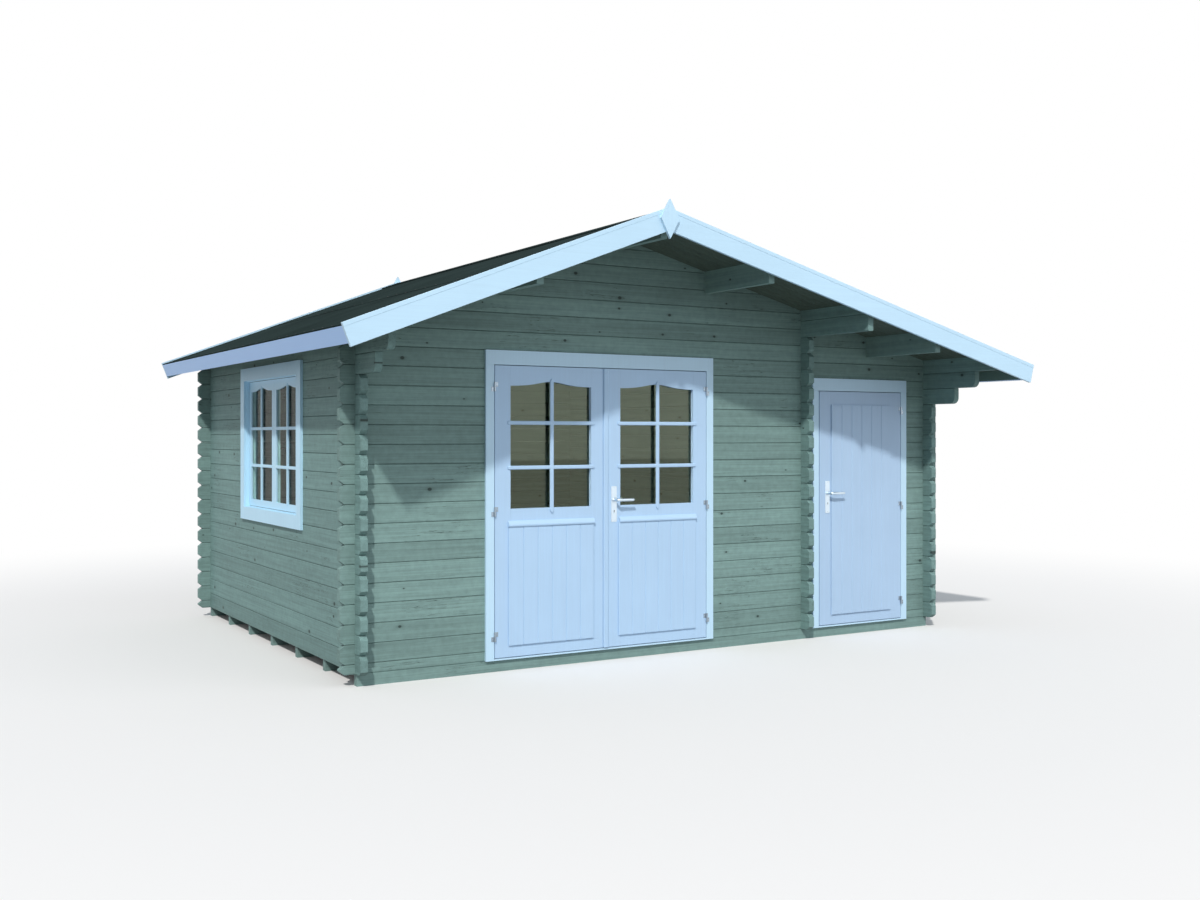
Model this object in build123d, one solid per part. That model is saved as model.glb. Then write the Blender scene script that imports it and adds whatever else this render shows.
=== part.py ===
from build123d import *
import math
import os

# Driving dimensions, in millimetres: walls and logs
wall_width = 4510.0
wall_depth = 3325.0
partition_place = 3280.0
log_height = 114.0
log_thickness = 44.0
log_end = 90.0
log_gap = 0.4
log_edge_bevel = 4.0
end_bevel_length = 30.0
end_bevel_height = 24.0
near_step = 315.0
far_step = 510.0
step_round = 45.0

# Driving dimensions: floor
bearer_height = 70.0
bearer_width = 45.0
bearer_inset = 12.0
bearer_count = 7
floor_thickness = 19.0
floor_gap = 2.0

# Driving dimensions: roof
ridge_underside = 2738.0
left_pitch_degrees = 21.1
right_pitch_degrees = 14.8
roof_board_thickness = 19.0
roofing_thickness = 4.0
barge_rise = 36.0
barge_height = 131.0
barge_thickness = 20.0
edge_batten_thickness = 30.0
front_overhang = 731.0
back_overhang = 150.0
left_eave_reach = 335.0
right_eave_reach = 315.0
fascia_height = 95.0
fascia_thickness = 20.0
purlin_width = 44.0
purlin_height = 140.0
finial_width = 130.0
finial_height = 234.0
finial_rise = 45.0
finial_thickness = 18.0

# Driving dimensions: doors
casing_thickness = 18.0
casing_side = 55.0
casing_head = 88.0
double_casing_width = 1688.0
double_head_drop = 146.0
store_casing_width = 904.0
store_head_drop = 146.0
store_casing_offset = 51.0
frame_width = 40.0
frame_depth = 70.0
stop_width = 12.0
threshold_thickness = 10.0
door_gap = 5.0
free_edge_gap = 7.0
leaf_thickness = 40.0
double_stile = 105.0
store_stile = 105.0
double_bottom_rail = 87.0
double_middle_rail = 108.0
double_middle_rail_bottom = 793.0
double_top_rail = 121.0
arch_rise = 28.0
store_bottom_rail = 71.0
store_top_rail = 96.0
meeting_offset = 22.0
meeting_strip_width = 36.0
meeting_strip_thickness = 10.0
rebate_depth = 10.0
glass_thickness = 4.0
glass_setback = 26.0
panel_thickness = 16.0
panel_setback = 13.0
panel_proud = 8.0
double_panel_lap = 16.0

# Driving dimensions: hinges and handles
hinge_radius = 6.5
hinge_pin_radius = 3.0
hinge_pin_play = 0.3
hinge_offset = 7.0
hinge_knuckle = 28.0
hinge_knuckle_gap = 1.0
hinge_flap_reach = 22.0
hinge_flap_thickness = 3.0
hinge_end_inset = 130.0
double_handle_inset = 79.0
store_handle_inset = 72.0
handle_plate_width = 42.0
handle_plate_height = 230.0
handle_plate_thickness = 3.0
handle_plate_centre = 925.0
handle_spindle_level = 952.0
spindle_radius = 5.0
spindle_play = 0.6
lever_neck_radius = 10.5
lever_radius = 9.5
lever_length = 125.0
lever_reach = 48.0
lever_play = 0.6

# Driving dimensions: window in the left wall
window_casing_start = 946.0
window_casing_width = 1391.0
window_casing_bottom = 762.0
window_head_drop = 184.0
window_casing_board = 90.0
window_frame_bar = 45.0
window_frame_overlap = 40.0
sash_stile = 48.0
sash_thickness = 34.0
sash_gap = 3.0
sash_recess = 40.0
sash_glass_setback = 10.0
sash_arch_rise = 24.0

# Shares of a length, with no unit
notch_share = 0.25
first_course_share = 0.5
top_course_least_share = 0.65
crossing_reach_share = 0.9
smallest_log_share = 0.5
finial_shoulder_share = 0.49
arch_flat_share = 0.62
arch_peak_share = 0.3

# Places worked out from the driving dimensions
left_face = -wall_width / 2
right_face = wall_width / 2
front_face = -wall_depth / 2
back_face = wall_depth / 2
left_inner = left_face + log_thickness
right_inner = right_face - log_thickness
front_inner = front_face + log_thickness
back_inner = back_face - log_thickness
partition_left = left_face + partition_place
partition_right = partition_left + log_thickness
ridge_x = (left_face + partition_right) / 2
wall_base = bearer_height
floor_top = wall_base + floor_thickness
left_pitch = math.radians(left_pitch_degrees)
right_pitch = math.radians(right_pitch_degrees)
front_barge_face = front_face - front_overhang
front_barge_back = front_barge_face + barge_thickness
back_barge_face = back_face + back_overhang
back_barge_front = back_barge_face - barge_thickness
front_edge = front_barge_back + edge_batten_thickness
back_edge = back_barge_front - edge_batten_thickness
roofing_top = roof_board_thickness + roofing_thickness
casing_front = front_face - casing_thickness
leaf_back = casing_front + leaf_thickness
smallest_log = smallest_log_share * log_thickness * log_thickness * log_height


# Basic shapes
def prism(outline, axis, low, high):
    """Extrude an outline that lies across an axis, from low to high along it."""
    length = high - low
    if axis == "x":
        corners = [Vector(low, a, b) for a, b in outline]
        way = Vector(length, 0, 0)
    elif axis == "y":
        corners = [Vector(a, low, b) for a, b in outline]
        way = Vector(0, length, 0)
    else:
        corners = [Vector(a, b, low) for a, b in outline]
        way = Vector(0, 0, length)
    face = Face(Wire.make_polygon(corners, close=True))
    return Solid.extrude(face, way)


def block(x_low, x_high, y_low, y_high, z_low, z_high):
    """A box between two corners."""
    size = (x_high - x_low, y_high - y_low, z_high - z_low)
    return Solid.make_box(*size, Plane((x_low, y_low, z_low)))


def rod(start, way, radius, length):
    """A round bar from a point along a direction."""
    return Solid.make_cylinder(radius, length, Plane(origin=start, z_dir=way))


def solids_of(shape):
    """The separate solids of a shape, whatever a cut has left of it."""
    if isinstance(shape, (list, tuple)):
        return [solid for item in shape for solid in item.solids()]
    return list(shape.solids())


def cut_all(solids, cutter):
    """Take one cutter from each of several solids that it may touch."""
    kept = []
    zone = cutter.bounding_box()
    for solid in solids:
        box = solid.bounding_box()
        apart = (
            box.max.X <= zone.min.X or box.min.X >= zone.max.X
            or box.max.Y <= zone.min.Y or box.min.Y >= zone.max.Y
            or box.max.Z <= zone.min.Z or box.min.Z >= zone.max.Z
        )
        kept.extend([solid] if apart else solids_of(solid - cutter))
    return kept


def cut_opening(logs, hole, axis):
    """Cut an opening, and part the logs that run over or under it at its two ends."""
    zone = hole.bounding_box()
    kept = []
    for log in logs:
        rest = cut_all([log], hole)
        if rest[0] is not log:
            box = log.bounding_box()
            for end in (getattr(zone.min, axis), getattr(zone.max, axis)):
                slit_low = {"X": box.min.X, "Y": box.min.Y, axis: end - log_gap / 2}
                slit_high = {"X": box.max.X, "Y": box.max.Y, axis: end + log_gap / 2}
                spans = (slit_low["X"], slit_high["X"], slit_low["Y"], slit_high["Y"])
                rest = cut_all(rest, block(*spans, box.min.Z, box.max.Z))
        kept.extend(rest)
    return kept


def save(name, solids):
    """Write one node's solids to its own file."""
    export_step(Compound(list(solids)), "parts/" + name + ".step")


# Roof lines: along is measured down the slope from the ridge, up is square to it
def left_slope(along, up):
    across = along * math.cos(left_pitch) + up * math.sin(left_pitch)
    return (ridge_x - across, ridge_underside - along * math.sin(left_pitch) + up * math.cos(left_pitch))


def right_slope(along, up):
    across = along * math.cos(right_pitch) + up * math.sin(right_pitch)
    return (ridge_x + across, ridge_underside - along * math.sin(right_pitch) + up * math.cos(right_pitch))


def underside(x):
    """Height of the underside of the roof boards over a place across the cabin."""
    pitch = left_pitch if x < ridge_x else right_pitch
    return ridge_underside - abs(x - ridge_x) * math.tan(pitch)


left_run = ridge_x - left_face + left_eave_reach - barge_rise * math.sin(left_pitch)
right_run = right_face - ridge_x + right_eave_reach - barge_rise * math.sin(right_pitch)
slopes = {
    "left": (left_slope, left_pitch, left_run / math.cos(left_pitch)),
    "right": (right_slope, right_pitch, right_run / math.cos(right_pitch)),
}


def slope_slab(side, low, high, end, y_low, y_high):
    """A slab on one slope, from the ridge to an end cut square to the slope."""
    slope, pitch, _ = slopes[side]
    outline = [
        slope(-low * math.tan(pitch), low),
        slope(end, low),
        slope(end, high),
        slope(-high * math.tan(pitch), high),
    ]
    return prism(outline, "y", y_low, y_high)


def under_roof():
    """All the room below the roof boards, a little wider than the roof."""
    left_end = left_face - 2 * left_eave_reach
    right_end = right_face + 2 * right_eave_reach
    outline = [
        (left_end, 0),
        (right_end, 0),
        (right_end, underside(right_end)),
        (ridge_x, ridge_underside),
        (left_end, underside(left_end)),
    ]
    return prism(outline, "y", front_barge_face, back_barge_face)


# Logs
def log_outline(start, end, low, high, crossings, notches, bevels):
    """Side view of a log: bevelled ends, and notches where other logs cross it."""
    notch_low, notch_high = notches
    bottom = [(start, low)]
    top = [(start, high)]
    if bevels[0]:
        bottom = [(start, low + end_bevel_height), (start + end_bevel_length, low)]
        top = [(start, high - end_bevel_height), (start + end_bevel_length, high)]
    for first, last in crossings:
        near = first - log_gap
        far = last + log_gap
        if notch_low > low:
            bottom += [(near, low), (near, notch_low), (far, notch_low), (far, low)]
        if notch_high < high:
            top += [(near, high), (near, notch_high), (far, notch_high), (far, high)]
    if bevels[1]:
        bottom += [(end - end_bevel_length, low), (end, low + end_bevel_height)]
        top += [(end - end_bevel_length, high), (end, high - end_bevel_height)]
    else:
        bottom += [(end, low)]
        top += [(end, high)]
    return bottom + top[::-1]


def make_log(axis, start, end, face, low, high, crossings, notches, bevels, rounded=False):
    """One log along x or y: its side view crossed with its bevelled section."""
    back = face + log_thickness
    bevel = log_edge_bevel
    section = [
        (face + bevel, low),
        (back - bevel, low),
        (back, low + bevel),
        (back, high - bevel),
        (back - bevel, high),
        (face + bevel, high),
        (face, high - bevel),
        (face, low + bevel),
    ]
    across = "y" if axis == "x" else "x"
    outline = log_outline(start, end, low, high, crossings, notches, bevels)
    side_view = prism(outline, across, face, back)
    if rounded:
        corner = Vector(face + log_thickness / 2, start, low)
        edges = side_view.edges().filter_by(Axis.X)
        nearest = min(edges, key=lambda edge: (edge.center() - corner).length)
        side_view = side_view.fillet(step_round, [nearest])
    return solids_of(side_view & prism(section, axis, start, end))[0]


def courses_up_to(height):
    """How many log heights fill a height, with the last one cut down or left taller."""
    return math.ceil(height / log_height - 1 + top_course_least_share)


def course_levels(index, first_bottom):
    """Bottom, top and notch levels of a full course."""
    low = first_bottom + index * log_height
    high = low + log_height
    notch = notch_share * log_height
    return low + log_gap / 2, high - log_gap / 2, (low + notch + log_gap / 2, high - notch - log_gap / 2)


def wall_top(face):
    """Lowest height of the roof over a wall along y, whose lower face is given."""
    return min(underside(face), underside(face + log_thickness))


def below_roof(logs):
    """Cut logs to the roof, and drop scraps."""
    room = under_roof()
    lowest = min(underside(left_face - log_end), underside(right_face + log_end))
    kept = []
    for log in logs:
        low_enough = log.bounding_box().max.Z < lowest
        kept.extend([log] if low_enough else solids_of(log & room))
    return [log for log in kept if log.volume > smallest_log]


def side_wall(face, front_reaches):
    """A wall along y. Its topmost logs reach out under the front overhang, the top one first."""
    count = courses_up_to(wall_top(face) - wall_base)
    crossings = [(front_face, front_inner), (back_inner, back_face)]
    logs = []
    for course in range(count):
        from_top = count - 1 - course
        low, high, notches = course_levels(course, wall_base)
        start = front_face - log_end
        end = back_face + log_end
        if from_top == 0:
            high += log_height
            notches = (notches[0], high)
            end = back_edge
        reaches_out = from_top < len(front_reaches)
        if reaches_out:
            start = front_face - front_reaches[from_top]
        rounded = reaches_out and start > front_edge
        bevels = (not reaches_out, from_top > 0)
        logs.append(make_log("y", start, end, face, low, high, crossings, notches, bevels, rounded))
    return below_roof(logs)


def cross_wall(face):
    """A wall along x, from a half course at the bottom to the gable's peak."""
    half = first_course_share * log_height
    count = courses_up_to(ridge_underside - wall_base - half)
    walls = [(left_face, left_inner), (partition_left, partition_right), (right_inner, right_face)]
    reach = crossing_reach_share * log_height
    logs = []
    for course in range(-1, count):
        low, high, notches = course_levels(course, wall_base + half)
        if course < 0:
            low = wall_base + log_gap / 2
            notches = (low, notches[1])
        if course == count - 1:
            high += log_height
            notches = (notches[0], high)
        crosses = [low < wall_top(first) - reach for first, _ in walls]
        start = left_face - log_end if crosses[0] else left_inner + log_gap
        end = partition_left - log_gap
        if crosses[1]:
            end = right_inner - log_gap
        if crosses[2]:
            end = right_face + log_end
        crossed = [wall for wall, there in zip(walls, crosses) if there]
        bevels = (crosses[0], crosses[2])
        logs.append(make_log("x", start, end, face, low, high, crossed, notches, bevels))
    return below_roof(logs)


# Purlins, which carry the roof boards between the walls
def purlin(centre):
    left = centre - purlin_width / 2
    right = centre + purlin_width / 2
    bottom = underside(centre) - purlin_height
    outline = [(left, bottom), (right, bottom), (right, underside(right))]
    if left < ridge_x < right:
        outline += [(ridge_x, ridge_underside)]
    outline += [(left, underside(left))]
    return prism(outline, "y", front_edge, back_edge)


def purlin_pocket(centre):
    """The room a purlin takes out of the gables."""
    half = purlin_width / 2 + log_gap
    bottom = underside(centre) - purlin_height - log_gap
    return block(centre - half, centre + half, front_barge_face, back_barge_face, bottom, 2 * ridge_underside)


wall_purlin_places = [
    (left_face + ridge_x) / 2,
    (ridge_x + partition_left) / 2,
    (partition_right + right_face) / 2,
]


# Doors: sizes that the casing gives
class Doorway:
    """The casing's outline on the front wall, and what follows from it."""

    def __init__(self, casing_left, casing_width, casing_top):
        """The casing's left edge, its width and the height of its top."""
        self.outer_left = casing_left
        self.outer_right = casing_left + casing_width
        self.outer_top = casing_top
        self.left = self.outer_left + casing_side
        self.right = self.outer_right - casing_side
        self.top = self.outer_top - casing_head
        self.bottom = wall_base + threshold_thickness
        self.leaf_bottom = self.bottom + door_gap
        self.leaf_top = self.top - door_gap

    def hole(self):
        """The opening cut through the logs."""
        left = self.left - frame_width - log_gap
        right = self.right + frame_width + log_gap
        top = self.top + frame_width + log_gap
        return block(left, right, front_face - log_end, front_inner + log_end, 0, top)

    def casing(self):
        """Two side boards and a head board on the wall's face."""
        head_low = self.top
        side_top = head_low - log_gap
        return [
            block(self.outer_left, self.left, casing_front, front_face, wall_base, side_top),
            block(self.right, self.outer_right, casing_front, front_face, wall_base, side_top),
            block(self.outer_left, self.outer_right, casing_front, front_face, head_low, self.outer_top),
        ]

    def frame(self):
        """Two posts, a head, stop strips behind the leaf, and the threshold."""
        back = front_face + frame_depth
        stop_front = leaf_back + door_gap
        left_out = self.left - frame_width
        right_out = self.right + frame_width
        head_top = self.top + frame_width
        post_low = wall_base
        post_top = self.top - log_gap
        stop_low = self.bottom + log_gap
        stop_left = self.left + log_gap
        stop_right = self.right - log_gap
        stop_top = self.top - log_gap
        side_stop_top = stop_top - stop_width - log_gap
        inner_left = stop_left + stop_width
        inner_right = stop_right - stop_width
        return [
            block(left_out, self.left, front_face, back, post_low, post_top),
            block(self.right, right_out, front_face, back, post_low, post_top),
            block(left_out, right_out, front_face, back, self.top, head_top),
            block(stop_left, inner_left, stop_front, back, stop_low, side_stop_top),
            block(inner_right, stop_right, stop_front, back, stop_low, side_stop_top),
            block(stop_left, stop_right, stop_front, back, stop_top - stop_width, stop_top),
            block(stop_left, stop_right, casing_front, back, wall_base, self.bottom),
        ]

    def hinge_levels(self):
        """Three hinges: near the foot, in the middle and near the head."""
        low = self.leaf_bottom + hinge_end_inset
        high = self.leaf_top - hinge_end_inset
        return [low, (low + high) / 2, high]


# Framed leaves and sashes, all facing -y
def rebated(solids, x_low, x_high, z_low, z_high, front, back):
    """Cut the recess that holds a pane or panel from behind."""
    recess = block(x_low, x_high, front, back, z_low, z_high)
    return cut_all(solids, recess)


def top_rail(x_low, x_high, z_low, z_high, rise, front, back):
    """A head rail whose lower edge rises in a double curve to its middle."""
    half = (x_high - x_low) / 2
    middle = x_low + half
    crown = z_low + rise

    def at(x, z):
        return Vector(x, front, z)

    left_curve = Edge.make_bezier(
        at(x_low, z_low),
        at(x_low + arch_flat_share * half, z_low),
        at(middle - arch_peak_share * half, crown),
        at(middle, crown),
    )
    right_curve = Edge.make_bezier(
        at(middle, crown),
        at(middle + arch_peak_share * half, crown),
        at(x_high - arch_flat_share * half, z_low),
        at(x_high, z_low),
    )
    rest = [
        Edge.make_line(at(x_high, z_low), at(x_high, z_high)),
        Edge.make_line(at(x_high, z_high), at(x_low, z_high)),
        Edge.make_line(at(x_low, z_high), at(x_low, z_low)),
    ]
    outline = Wire([left_curve, right_curve] + rest)
    return Solid.extrude(Face(outline), Vector(0, back - front, 0))


def stiles(x_low, x_high, z_low, z_high, left_width, right_width, front, back):
    return [
        block(x_low, x_low + left_width, front, back, z_low, z_high),
        block(x_high - right_width, x_high, front, back, z_low, z_high),
    ]


def raised_panel(x_low, x_high, z_low, z_high, lap):
    """A panel held in the frame's recess, whose face stands proud of the frame and laps over it."""
    plate_front = casing_front + panel_setback
    plate_back = plate_front + panel_thickness
    left = x_low - rebate_depth
    right = x_high + rebate_depth
    plate = block(left, right, plate_front, plate_back, z_low - rebate_depth, z_high + rebate_depth)
    core = block(x_low, x_high, casing_front, plate_front, z_low + log_gap, z_high - log_gap)
    face_front = casing_front - panel_proud
    face = block(x_low - lap, x_high + lap, face_front, casing_front, z_low - lap, z_high)
    return solids_of(plate + core + face)[0]


def glazed_leaf(x_low, x_high, left_stile, right_stile, doorway):
    """Leaf of the double door: arched glass over a boarded panel."""
    low = doorway.leaf_bottom
    high = doorway.leaf_top
    front = casing_front
    back = leaf_back
    rail_low = x_low + left_stile + log_gap
    rail_high = x_high - right_stile - log_gap
    middle_low = low + double_middle_rail_bottom
    middle_high = middle_low + double_middle_rail
    panel_low = low + double_bottom_rail
    glass_high = high - double_top_rail
    frame = stiles(x_low, x_high, low, high, left_stile, right_stile, front, back)
    frame.append(block(rail_low, rail_high, front, back, low, panel_low))
    frame.append(block(rail_low, rail_high, front, back, middle_low, middle_high))
    frame.append(top_rail(rail_low, rail_high, glass_high, high, arch_rise, front, back))
    pane_left = rail_low - rebate_depth
    pane_right = rail_high + rebate_depth
    glass_front = front + glass_setback
    panel_front = front + panel_setback
    pane_low = middle_high - rebate_depth
    pane_high = glass_high + arch_rise + rebate_depth
    board_low = panel_low - rebate_depth
    board_high = middle_low + rebate_depth
    frame = rebated(frame, pane_left, pane_right, pane_low, pane_high, glass_front, back)
    frame = rebated(frame, pane_left, pane_right, board_low, board_high, panel_front, back)
    glass = block(pane_left, pane_right, glass_front, glass_front + glass_thickness, pane_low, pane_high)
    panel = raised_panel(rail_low, rail_high, panel_low, middle_low, double_panel_lap)
    return frame, panel, glass


def boarded_leaf(x_low, x_high, doorway):
    """Leaf of the store door: one tall boarded panel."""
    low = doorway.leaf_bottom
    high = doorway.leaf_top
    front = casing_front
    back = leaf_back
    rail_low = x_low + store_stile + log_gap
    rail_high = x_high - store_stile - log_gap
    panel_low = low + store_bottom_rail
    panel_high = high - store_top_rail
    frame = stiles(x_low, x_high, low, high, store_stile, store_stile, front, back)
    frame.append(block(rail_low, rail_high, front, back, low, panel_low))
    frame.append(block(rail_low, rail_high, front, back, panel_high, high))
    left = rail_low - rebate_depth
    right = rail_high + rebate_depth
    bottom = panel_low - rebate_depth
    top = panel_high + rebate_depth
    panel_front = front + panel_setback
    frame = rebated(frame, left, right, bottom, top, panel_front, back)
    panel = raised_panel(rail_low, rail_high, panel_low, panel_high, 0)
    return frame, panel


# Hinges: the lower half is on the casing and carries the pin, the upper half is on the leaf
def hinge_axis(doorway, side):
    if side == "left":
        return doorway.left + door_gap / 2
    return doorway.right - door_gap / 2


def hinge_halves(doorway, side):
    """Casing halves and leaf halves of one leaf's three hinges."""
    axis_x = hinge_axis(doorway, side)
    axis_y = casing_front - hinge_offset
    outward = -1 if side == "left" else 1
    upward = (0, 0, 1)
    flap_front = casing_front - hinge_flap_thickness
    casing_halves = []
    leaf_halves = []
    for level in doorway.hinge_levels():
        lower = level - hinge_knuckle - hinge_knuckle_gap / 2
        upper = level + hinge_knuckle_gap / 2
        flap_end = axis_x + outward * hinge_flap_reach
        left, right = sorted([axis_x + outward * door_gap / 2, flap_end])
        knuckle = rod((axis_x, axis_y, lower), upward, hinge_radius, hinge_knuckle)
        pin_length = 2 * hinge_knuckle + hinge_knuckle_gap
        pin = rod((axis_x, axis_y, lower), upward, hinge_pin_radius, pin_length)
        flap = block(left, right, flap_front, casing_front, lower, lower + hinge_knuckle)
        arm_left, arm_right = sorted([axis_x, axis_x + outward * (door_gap / 2 + hinge_flap_thickness)])
        arm = block(arm_left, arm_right, axis_y, casing_front, lower, lower + hinge_knuckle)
        casing_halves.append(solids_of(knuckle + pin + flap + arm)[0])
        flap_end = axis_x - outward * hinge_flap_reach
        left, right = sorted([axis_x - outward * door_gap / 2, flap_end])
        knuckle = rod((axis_x, axis_y, upper), upward, hinge_radius, hinge_knuckle)
        flap = block(left, right, flap_front, casing_front, upper, upper + hinge_knuckle)
        arm_left, arm_right = sorted([axis_x, axis_x - outward * (door_gap / 2 + hinge_flap_thickness)])
        arm = block(arm_left, arm_right, axis_y, casing_front, upper, upper + hinge_knuckle)
        bore_radius = hinge_pin_radius + hinge_pin_play
        bore = rod((axis_x, axis_y, upper), upward, bore_radius, hinge_knuckle)
        leaf_halves.append(solids_of(knuckle + flap + arm - bore)[0])
    return casing_halves, leaf_halves


# Handles
def spindle_hole(x):
    start = (x, casing_front - log_end, wall_base + handle_spindle_level)
    return rod(start, (0, 1, 0), spindle_radius + spindle_play, 2 * log_end + leaf_thickness)


def handle_plates(x):
    """A long plate on each face of the leaf."""
    low = wall_base + handle_plate_centre - handle_plate_height / 2
    high = low + handle_plate_height
    left = x - handle_plate_width / 2
    right = x + handle_plate_width / 2
    outer = block(left, right, casing_front - handle_plate_thickness, casing_front, low, high)
    inner = block(left, right, leaf_back, leaf_back + handle_plate_thickness, low, high)
    return cut_all([outer, inner], spindle_hole(x))


def lever(x):
    """A lever on each face, joined by the spindle through the leaf."""
    level = wall_base + handle_spindle_level
    plate_front = casing_front - handle_plate_thickness - lever_play
    plate_back = leaf_back + handle_plate_thickness + lever_play
    outer_y = plate_front - lever_reach
    inner_y = plate_back + lever_reach
    shape = rod((x, outer_y, level), (0, 1, 0), spindle_radius, inner_y - outer_y)
    for y, neck_end, way in ((outer_y, plate_front, 1), (inner_y, plate_back, -1)):
        shape += rod((x, y, level), (0, way, 0), lever_neck_radius, abs(neck_end - y))
        shape += rod((x, y, level), (1, 0, 0), lever_radius, lever_length)
        shape += Solid.make_sphere(lever_neck_radius, Plane((x, y, level)), -90, 90, 360)
    return solids_of(shape)[0]


# Window, made facing -y about x = 0 and then turned to face -x
def turned_to_left_wall(solids):
    middle = front_face + window_casing_start + window_casing_width / 2
    return [solid.rotate(Axis.Z, -90).translate(Vector(left_face, middle, 0)) for solid in solids]


def ring(half_width, low, high, bar, front, back):
    """Two uprights and two bars between them, a hair apart."""
    inner = half_width - bar - log_gap
    return [
        block(-half_width, bar - half_width, front, back, low, high),
        block(half_width - bar, half_width, front, back, low, high),
        block(-inner, inner, front, back, low, low + bar),
        block(-inner, inner, front, back, high - bar, high),
    ]


def sash(x_low, x_high, low, high):
    """One casement with an arched head, and its pane."""
    front = sash_recess - casing_thickness
    back = front + sash_thickness
    rail_low = x_low + sash_stile + log_gap
    rail_high = x_high - sash_stile - log_gap
    head = high - sash_stile - sash_arch_rise
    frame = stiles(x_low, x_high, low, high, sash_stile, sash_stile, front, back)
    frame.append(block(rail_low, rail_high, front, back, low, low + sash_stile))
    frame.append(top_rail(rail_low, rail_high, head, high, sash_arch_rise, front, back))
    left = rail_low - rebate_depth
    right = rail_high + rebate_depth
    bottom = low + sash_stile - rebate_depth
    top = head + sash_arch_rise + rebate_depth
    glass_front = front + sash_glass_setback
    frame = rebated(frame, left, right, bottom, top, glass_front, back)
    glass = block(left, right, glass_front, glass_front + glass_thickness, bottom, top)
    return frame, glass


# Build each node
os.makedirs("parts", exist_ok=True)

double_left = ridge_x - double_casing_width / 2
double_door = Doorway(double_left, double_casing_width, wall_top(left_face) - double_head_drop)
store_left = partition_right + store_casing_offset
store_door = Doorway(store_left, store_casing_width, wall_top(right_inner) - store_head_drop)

# Floor
bearer_step = (wall_depth - bearer_width) / (bearer_count - 1)
bearers = []
for index in range(bearer_count):
    near = front_face + index * bearer_step
    far = near + bearer_width
    bearers.append(block(left_face + bearer_inset, right_face - bearer_inset, near, far, 0, bearer_height))
save("floor_bearers", bearers)
floor_front = front_inner + frame_depth - log_thickness + floor_gap
floor_back = back_inner - floor_gap
floors = [
    block(left_inner + floor_gap, partition_left - floor_gap, floor_front, floor_back, wall_base, floor_top),
    block(partition_right + floor_gap, right_inner - floor_gap, floor_front, floor_back, wall_base, floor_top),
]
save("floor_boards", floors)

# Walls
full_reach = front_face - front_edge
outer_reaches = [full_reach, far_step, near_step]
window_start = front_face + window_casing_start
window_end = window_start + window_casing_width
window_low = wall_base + window_casing_bottom
window_high = wall_top(left_face) - window_head_drop
window_inset = window_casing_board - window_frame_overlap
window_hole = block(
    left_face - log_end,
    left_inner + log_end,
    window_start + window_inset - log_gap,
    window_end - window_inset + log_gap,
    window_low + window_inset - log_gap,
    window_high - window_inset + log_gap,
)
save("left_wall", cut_opening(side_wall(left_face, outer_reaches), window_hole, "Y"))
save("right_wall", side_wall(right_inner, outer_reaches))
save("partition_wall", side_wall(partition_left, [full_reach, full_reach]))

pockets = [purlin_pocket(place) for place in wall_purlin_places + [ridge_x]]
front_logs = cross_wall(front_face)
back_logs = cross_wall(back_inner)
for pocket in pockets:
    front_logs = cut_all(front_logs, pocket)
    back_logs = cut_all(back_logs, pocket)
for doorway in (double_door, store_door):
    front_logs = cut_opening(front_logs, doorway.hole(), "X")
front_walls = {"left": [], "middle": [], "right": [], "gable": []}
for log in front_logs:
    box = log.bounding_box()
    over_double_door = box.min.X < ridge_x < box.max.X
    if box.min.Z > double_door.top or over_double_door:
        front_walls["gable"].append(log)
    elif box.max.X < ridge_x:
        front_walls["left"].append(log)
    elif box.min.X < store_door.left:
        front_walls["middle"].append(log)
    else:
        front_walls["right"].append(log)
for name, logs in front_walls.items():
    save("front_wall_" + name, [log for log in logs if log.volume > smallest_log])
save("back_wall", [log for log in back_logs if log.volume > smallest_log])

# Roof
save("ridge_purlin", [purlin(ridge_x)])
save("wall_purlins", [purlin(place) for place in wall_purlin_places])
fascias = []
for side, (slope, pitch, eave) in slopes.items():
    inner_eave = eave - fascia_thickness
    boards = slope_slab(side, 0, roof_board_thickness, inner_eave, front_edge, back_edge)
    cover = slope_slab(side, roof_board_thickness, roofing_top, eave, front_barge_back, back_barge_front)
    save("roof_boards_" + side, [boards])
    save("roofing_" + side, [cover])
    barge_low = barge_rise - barge_height
    front_barge = slope_slab(side, barge_low, barge_rise, eave, front_barge_face, front_barge_back)
    back_barge = slope_slab(side, barge_low, barge_rise, eave, back_barge_front, back_barge_face)
    save("front_bargeboard_" + side, [front_barge])
    save("back_bargeboard_" + side, [back_barge])
    fascia_low = roof_board_thickness - fascia_height
    front_batten = slope_slab(side, fascia_low, roof_board_thickness, eave, front_barge_back, front_edge)
    back_batten = slope_slab(side, fascia_low, roof_board_thickness, eave, back_edge, back_barge_front)
    save("edge_battens_" + side, [front_batten, back_batten])
    outline = [
        slope(inner_eave, fascia_low),
        slope(eave, fascia_low),
        slope(eave, roof_board_thickness),
        slope(inner_eave, roof_board_thickness),
    ]
    fascias.append(prism(outline, "y", front_edge, back_edge))
save("eave_fascias", fascias)

barge_apex = ridge_underside + barge_rise / math.cos(left_pitch)
finial_top = barge_apex + finial_rise
finial_outline = [
    (ridge_x, finial_top),
    (ridge_x - finial_width / 2, finial_top - finial_shoulder_share * finial_height),
    (ridge_x, finial_top - finial_height),
    (ridge_x + finial_width / 2, finial_top - finial_shoulder_share * finial_height),
]
finials = [
    prism(finial_outline, "y", front_barge_face - finial_thickness, front_barge_face),
    prism(finial_outline, "y", back_barge_face, back_barge_face + finial_thickness),
]
save("ridge_finials", finials)

# Doors
save("double_door_casing", double_door.casing())
save("double_door_frame", double_door.frame())
save("store_door_casing", store_door.casing())
save("store_door_frame", store_door.frame())

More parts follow.
